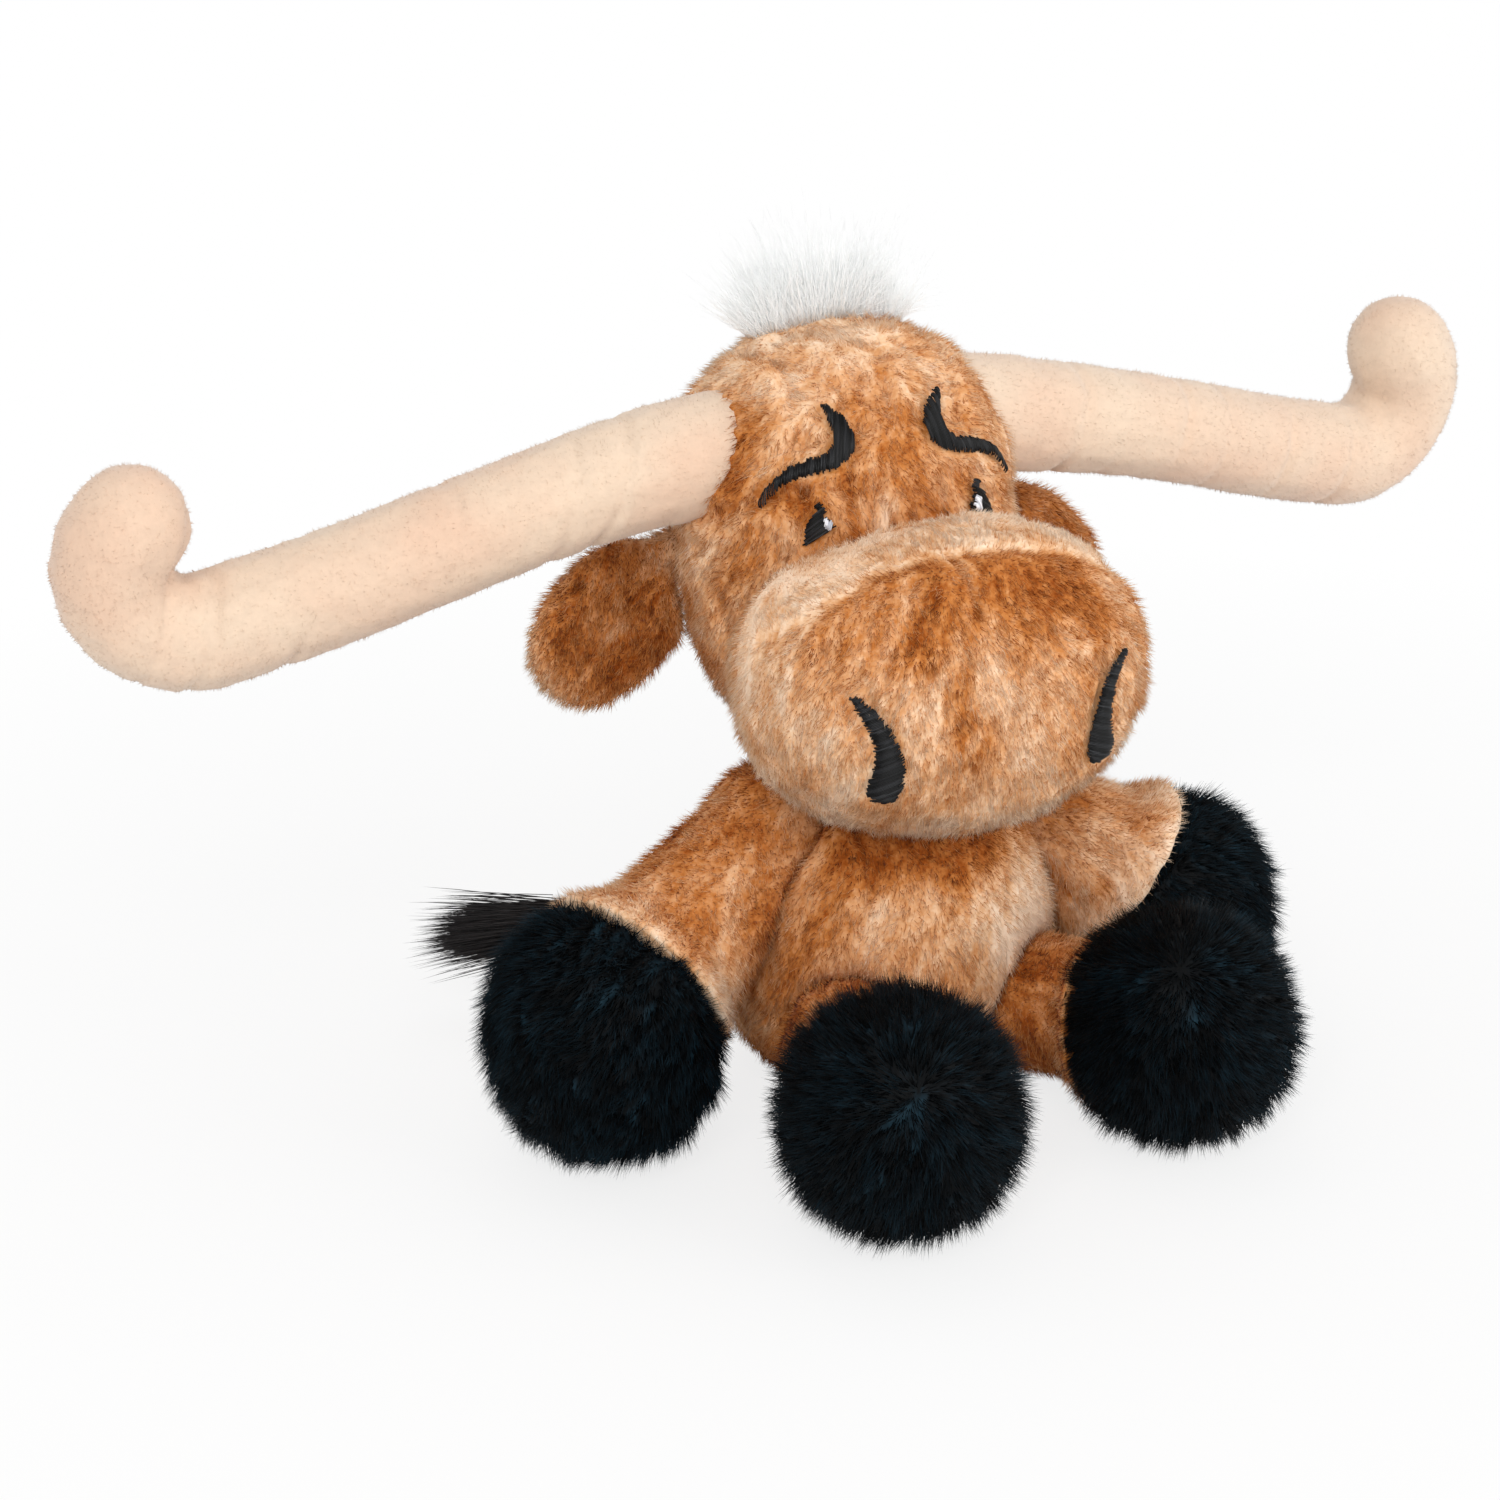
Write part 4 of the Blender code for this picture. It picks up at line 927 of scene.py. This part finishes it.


# Kind, hoof, side, where the seam lies before the hoof's middle, the whorl's place from that
# middle, in millimetres, and how much deeper the tan is drawn; the legs' deeper orange is partly
# painted shade, most on the far leg, and the far arm is paler with painted light
LIMBS = (
    ("arm", "hand_hoof", "right", 19.0, (22.0, 8.0, 30.0), 0.0),
    # The far arm is paler with painted light
    ("arm", "hand_hoof", "left", 19.0, (-22.0, 8.0, 26.0), -0.25),
    ("leg", "foot_hoof", "right", 23.0, (-8.0, -26.0, 22.0), 0.25),
    # The far leg's deeper orange is partly painted shade
    ("leg", "foot_hoof", "left", 23.0, (-12.0, -14.0, 26.0), 0.65),
)
for kind, hoof, side, seam, whorl, deep in LIMBS:
    body = kind + "_" + side
    root = Vector(joints[kind + "_lift_" + side]["pos_m"])
    middle = centre_of(hoof + "_" + side)
    way = (middle - root).normalized()
    whole = stuffed_skin(body + "_whole", kind + "_filling_" + side, 2.4 * MM, 10, 0.2 * MM)
    cut = middle - way * seam * MM
    sleeve = half_skin(body + "_skin", whole, cut, -way, 0.0)
    ball = half_skin(body + "_hoof_skin", whole, cut, way, -5.4 * MM)
    bpy.data.objects.remove(whole)
    way_row = np.array(way)
    cut_row = np.array(cut)

    def sleeve_comb(points, ups):
        return np.tile(way_row, (len(points), 1)) + np.array((0.0, 0.0, -0.3))

    def sleeve_zone(points, ups):
        """Deeper orange near the shoulder and on the legs, partly painted shade there; the far arm paler with
        painted light; paler at the cuff.
        """
        back = (cut_row - points) @ way_row / MM
        root_end = np.clip((back - 14.0) / 20.0, 0.0, 1.0)
        cuff_end = np.clip((8.0 - back) / 8.0, 0.0, 1.0)
        # deep brings in the legs' deeper orange, partly painted shade, and the far arm's painted light
        return deep + 0.5 * root_end - 0.45 * cuff_end

    def sleeve_keep(points, ups):
        tall = (depth_in(points, torso_skin) < 3.0 * MM).astype(float)
        back = (cut_row - points) @ way_row
        return tall * (points[:, 2] > 0.6 * MM) * (back > 0.3 * MM)

    def hoof_comb(points, ups):
        return points - (np.array(middle) + np.array(whorl) * MM)

    def hoof_keep(points, ups):
        ahead = (points - cut_row) @ way_row
        flat = np.clip((points[:, 2] - 0.2 * MM) / (9.0 * MM), 0.0, 1.0)
        seam = np.clip(ahead / (9.0 * MM), 0.0, 1.0)
        return np.where(ahead > 0.4 * MM, (0.35 + 0.65 * flat) * (0.55 + 0.45 * seam), 0.0)

    count = 20000 if kind == "arm" else 12000
    pile_body(sleeve, 1, PILE_LIFT, 0.45 * MM, sleeve_comb, 51, sleeve_zone, 1.8)
    sleeve_pile = grow_pile(
        body + "_pile", sleeve, count, PILE, 0.90, PILE_WIDTH, sleeve_comb, 51, sleeve_keep, sleeve_zone
    )
    pile_body(ball, 1, 3.6 * MM, 1.0 * MM, hoof_comb, 52, None, 2.6)
    hoof_pile = grow_pile(
        body + "_hoof_pile", ball, 25500, 8.6 * MM, 1.05, 0.30 * MM, hoof_comb, 52, hoof_keep,
        stray=0.20, clump=0.55, tufts=20,
    )
    sleeve.data.materials.append(TAN_PILE.material)
    sleeve_pile.data.materials.append(TAN_PILE.material)
    ball.data.materials.append(HOOF_FUR.material)
    hoof_pile.data.materials.append(HOOF_FUR.material)
    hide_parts(kind + "_cover_" + side, kind + "_filling_" + side)
    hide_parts(hoof + "_" + side)
    pieces = (
        (sleeve, "tan_plush"),
        (sleeve_pile, "tan_plush"),
        (ball, "hoof_fur"),
        (hoof_pile, "hoof_fur"),
    )
    for piece, slot in pieces:
        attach(piece, body)


# Tail: a thin plush tube from the back seam, with a brush of long black hair at its end.

tail_skin = stuffed_skin("tail_skin", "tail_cover", 1.8 * MM, 6, -3.2 * MM)


def tail_comb(points, ups):
    return np.tile((-1.2, 0.4, -0.2), (len(points), 1))


pile_body(tail_skin, 1, 1.6 * MM, 0.35 * MM, tail_comb, 61)
tail_pile = grow_pile("tail_pile", tail_skin, 9000, 3.2 * MM, 0.95, PILE_WIDTH, tail_comb, 61)
tail_skin.data.materials.append(TAN_PILE.material)
tail_pile.data.materials.append(TAN_PILE.material)
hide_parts("tail_cover")

TUFT_AXIS = np.array((-0.883, 0.469, -0.02))
TUFT_ROOT = np.array((-0.0745, 0.0735, 0.0315))
rng = np.random.default_rng(62)
count = 2600
roots = TUFT_ROOT + rng.normal(0.0, 1.0, (count, 3)) * np.array((2.0, 2.2, 2.5)) * MM
spread = (roots - TUFT_ROOT) / (9.0 * MM)
ways = unit(TUFT_AXIS + spread * 0.05 + rng.normal(0.0, 0.09, (count, 3)) + np.array((0.0, 0.0, -0.16)))
ups = unit(TUFT_AXIS + spread * 0.35 + rng.normal(0.0, 0.06, (count, 3)))
lengths = rng.triangular(11.0, 22.0, 36.0, count) * MM
tuft_hair = link(
    "tuft_hair",
    hair_mesh("tuft_hair", roots, ups, ways, lengths, rng.uniform(0.7, 1.4, count), np.full(count, 0.30 * MM),
              0.5 + rng.normal(0.0, 0.2, count), np.zeros(count), 4),
)
TAIL_HAIR = Look("tail_hair", Roughness=0.5, Specular_IOR_Level=0.35)
_, tint, _ = TAIL_HAIR.pile()
shade = TAIL_HAIR.range(tint, 0.1, 0.9)
brushed_black = TAIL_HAIR.mix(shade, (0.003, 0.0025, 0.003, 1.0), (0.022, 0.017, 0.017, 1.0))
TAIL_HAIR.set("Base Color", brushed_black)
tuft_hair.data.materials.append(TAIL_HAIR.material)
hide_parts("tail_tuft")
for piece, slot in ((tail_skin, "tan_plush"), (tail_pile, "tan_plush"), (tuft_hair, "hoof_fur")):
    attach(piece, "tail")


# Crown tuft: a strip of long straight white hair sewn in across the crown behind the face,
# brushed up so that it fans out in fine wisps.

STRIP_MIDDLE = 1.0
STRIP_HALF = 23.0
WISPS = 26
rng = np.random.default_rng(71)
roots, ups = skin_points(head_skin, 260000, rng)
own = in_head(roots) / MM
strip = (own[:, 2] > 20.0) & (np.abs(own[:, 0] - STRIP_MIDDLE) < STRIP_HALF)
strip &= (own[:, 1] > 3.0) & (own[:, 1] < 11.0)
roots, ups, own = roots[strip], ups[strip], own[strip]
count = len(roots)
side_share = (own[:, 0] - STRIP_MIDDLE) / STRIP_HALF
ways = np.stack((side_share * 0.75 - 0.12, (own[:, 1] - 5.0) * 0.03, np.full(count, 1.0)), axis=1)
ways = ways @ HEAD_TURN.T
wisps = own[rng.choice(count, WISPS, replace=False)][:, None, :2]
wisp = np.linalg.norm(wisps - own[None, :, :2], axis=2).argmin(axis=0)
bend = rng.normal(0.0, 0.34, (WISPS, 3))[wisp]
ways = unit(unit(ways) + bend + rng.normal(0.0, 0.24, (count, 3)))
ups = unit(ups * 0.5 + ways - bend * 0.8 + rng.normal(0.0, 0.25, (count, 3)))
lengths = rng.triangular(6.0, 17.0, 27.0, count) * (1.0 - 0.35 * side_share ** 2) * MM
lengths *= rng.uniform(0.72, 1.12, WISPS)[wisp]
lengths += (rng.random(count) > 0.92) * 6.0 * MM
crown_hair = link(
    "crown_hair",
    hair_mesh("crown_hair", roots, ups, ways, lengths, rng.uniform(0.2, 1.3, count), np.full(count, 0.17 * MM),
              0.5 + rng.normal(0.0, 0.2, count), np.zeros(count), 4),
)
# Light passes through white hair from all sides, which a faint glow of its own stands in for
CROWN_HAIR = Look(
    "crown_hair",
    Roughness=0.6,
    Specular_IOR_Level=0.3,
    Emission_Color=(1.0, 1.0, 1.0, 1.0),
    Emission_Strength=0.07,
)
_, tint, _ = CROWN_HAIR.pile()
shade = CROWN_HAIR.range(tint, 0.1, 0.9)
CROWN_HAIR.set("Base Color", CROWN_HAIR.mix(shade, (0.90, 0.92, 0.91, 1.0), (1.0, 1.0, 1.0, 1.0)))
crown_hair.data.materials.append(CROWN_HAIR.material)
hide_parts("crown_tuft")
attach(crown_hair, "head")


# Embroidery: brows, eyes, their pale highlights and the nostrils are machine satin stitch,
# rows of glossy thread laid side by side across each outline.

BLACK_THREAD = Look("black_thread", Roughness=0.36, Specular_IOR_Level=0.22)
WHITE_THREAD = Look("white_thread", Roughness=0.35, Specular_IOR_Level=0.5)
for look, dull, bright in (
    (BLACK_THREAD, (0.0006, 0.0006, 0.0007, 1.0), (0.028, 0.029, 0.032, 1.0)),
    (WHITE_THREAD, (0.50, 0.52, 0.58, 1.0), (0.90, 0.91, 0.95, 1.0)),
):
    strand = look.node("ShaderNodeAttribute", {"attribute_name": "thread"}, output="Fac")
    look.set("Base Color", look.mix(strand, dull, bright))
THREAD = 0.50 * MM
THREAD_LAP = 0.80


def satin(name, node, slant, look, lift):
    """Threads across one outline, found by sighting back at it from the front of the head."""
    rng = np.random.default_rng(81)
    outline = frame["nodes"][node]
    tree = BVHTree.FromObject(outline, bpy.context.evaluated_depsgraph_get())
    places = np.array([vert.co for vert in outline.data.vertices])
    own = in_head(places)
    middle = (own.min(axis=0) + own.max(axis=0)) / 2.0
    span = np.linalg.norm(own.max(axis=0) - own.min(axis=0))
    across = np.array((math.cos(slant), 0.0, math.sin(slant)))
    onward = np.array((-math.sin(slant), 0.0, math.cos(slant)))
    back = Vector(HEAD_BACK)
    curve = bpy.data.curves.new(name, "CURVE")
    curve.dimensions = "3D"
    curve.bevel_depth = THREAD / 2.0
    curve.bevel_resolution = 1
    curve.use_fill_caps = True
    rows = int(span / (THREAD * THREAD_LAP))
    fine = 0.25 * MM
    for row in range(-rows // 2, rows // 2 + 1):
        run = []
        steps = int(span / fine)
        for step in range(-steps // 2, steps // 2 + 2):
            spot = middle + onward * row * THREAD * THREAD_LAP + across * step * fine
            spot[1] = own[:, 1].min() - 20.0 * MM
            hit, normal, _, _ = tree.ray_cast(Vector(HEAD_TURN @ spot + HEAD_MIDDLE), back, 0.2)
            if hit is not None and normal.dot(back) < -0.15:
                run.append((hit, normal))
                continue
            if len(run) > 6:
                trim = rng.integers(0, 4, 2)
                run = run[trim[0] : len(run) - trim[1]]
                picks = [run[round(k * (len(run) - 1) / 6.0)] for k in range(7)]
                spline = curve.splines.new("POLY")
                spline.points.add(6)
                for k, (place, up) in enumerate(picks):
                    rise = lift + 0.35 * MM * math.sin(k * math.pi / 6.0)
                    if k in (0, 6):
                        rise = lift - 0.5 * MM
                    spline.points[k].co = (*(place + up * rise), 1.0)
            run = []
    holder = link(name, curve, look.material)
    bpy.context.view_layer.update()
    mesh = bpy.data.meshes.new_from_object(holder.evaluated_get(bpy.context.evaluated_depsgraph_get()))
    bpy.data.objects.remove(holder)
    count = len(curve.splines)
    tints = np.repeat(rng.uniform(0.0, 1.0, count) ** 2, len(mesh.vertices) // count)
    mesh.attributes.new("thread", "FLOAT", "POINT").data.foreach_set("value", tints)
    mesh.shade_smooth()
    piece = link(name, mesh)
    if not mesh.materials:
        mesh.materials.append(look.material)
    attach(piece, "head")
    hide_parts(node)
    return piece


for side, sign in SIDES:
    for kind, slant, look, slot in (
        ("brow", -sign * 1.35, BLACK_THREAD, "black_thread"),
        ("eye", -sign * 0.6, BLACK_THREAD, "black_thread"),
        ("eye_glint", -sign * 1.2, WHITE_THREAD, "white_thread"),
        ("nostril", -sign * 0.35, BLACK_THREAD, "black_thread"),
    ):
        stitch = satin(kind + "_stitch_" + side, kind + "_" + side, slant, look, -0.55 * MM)
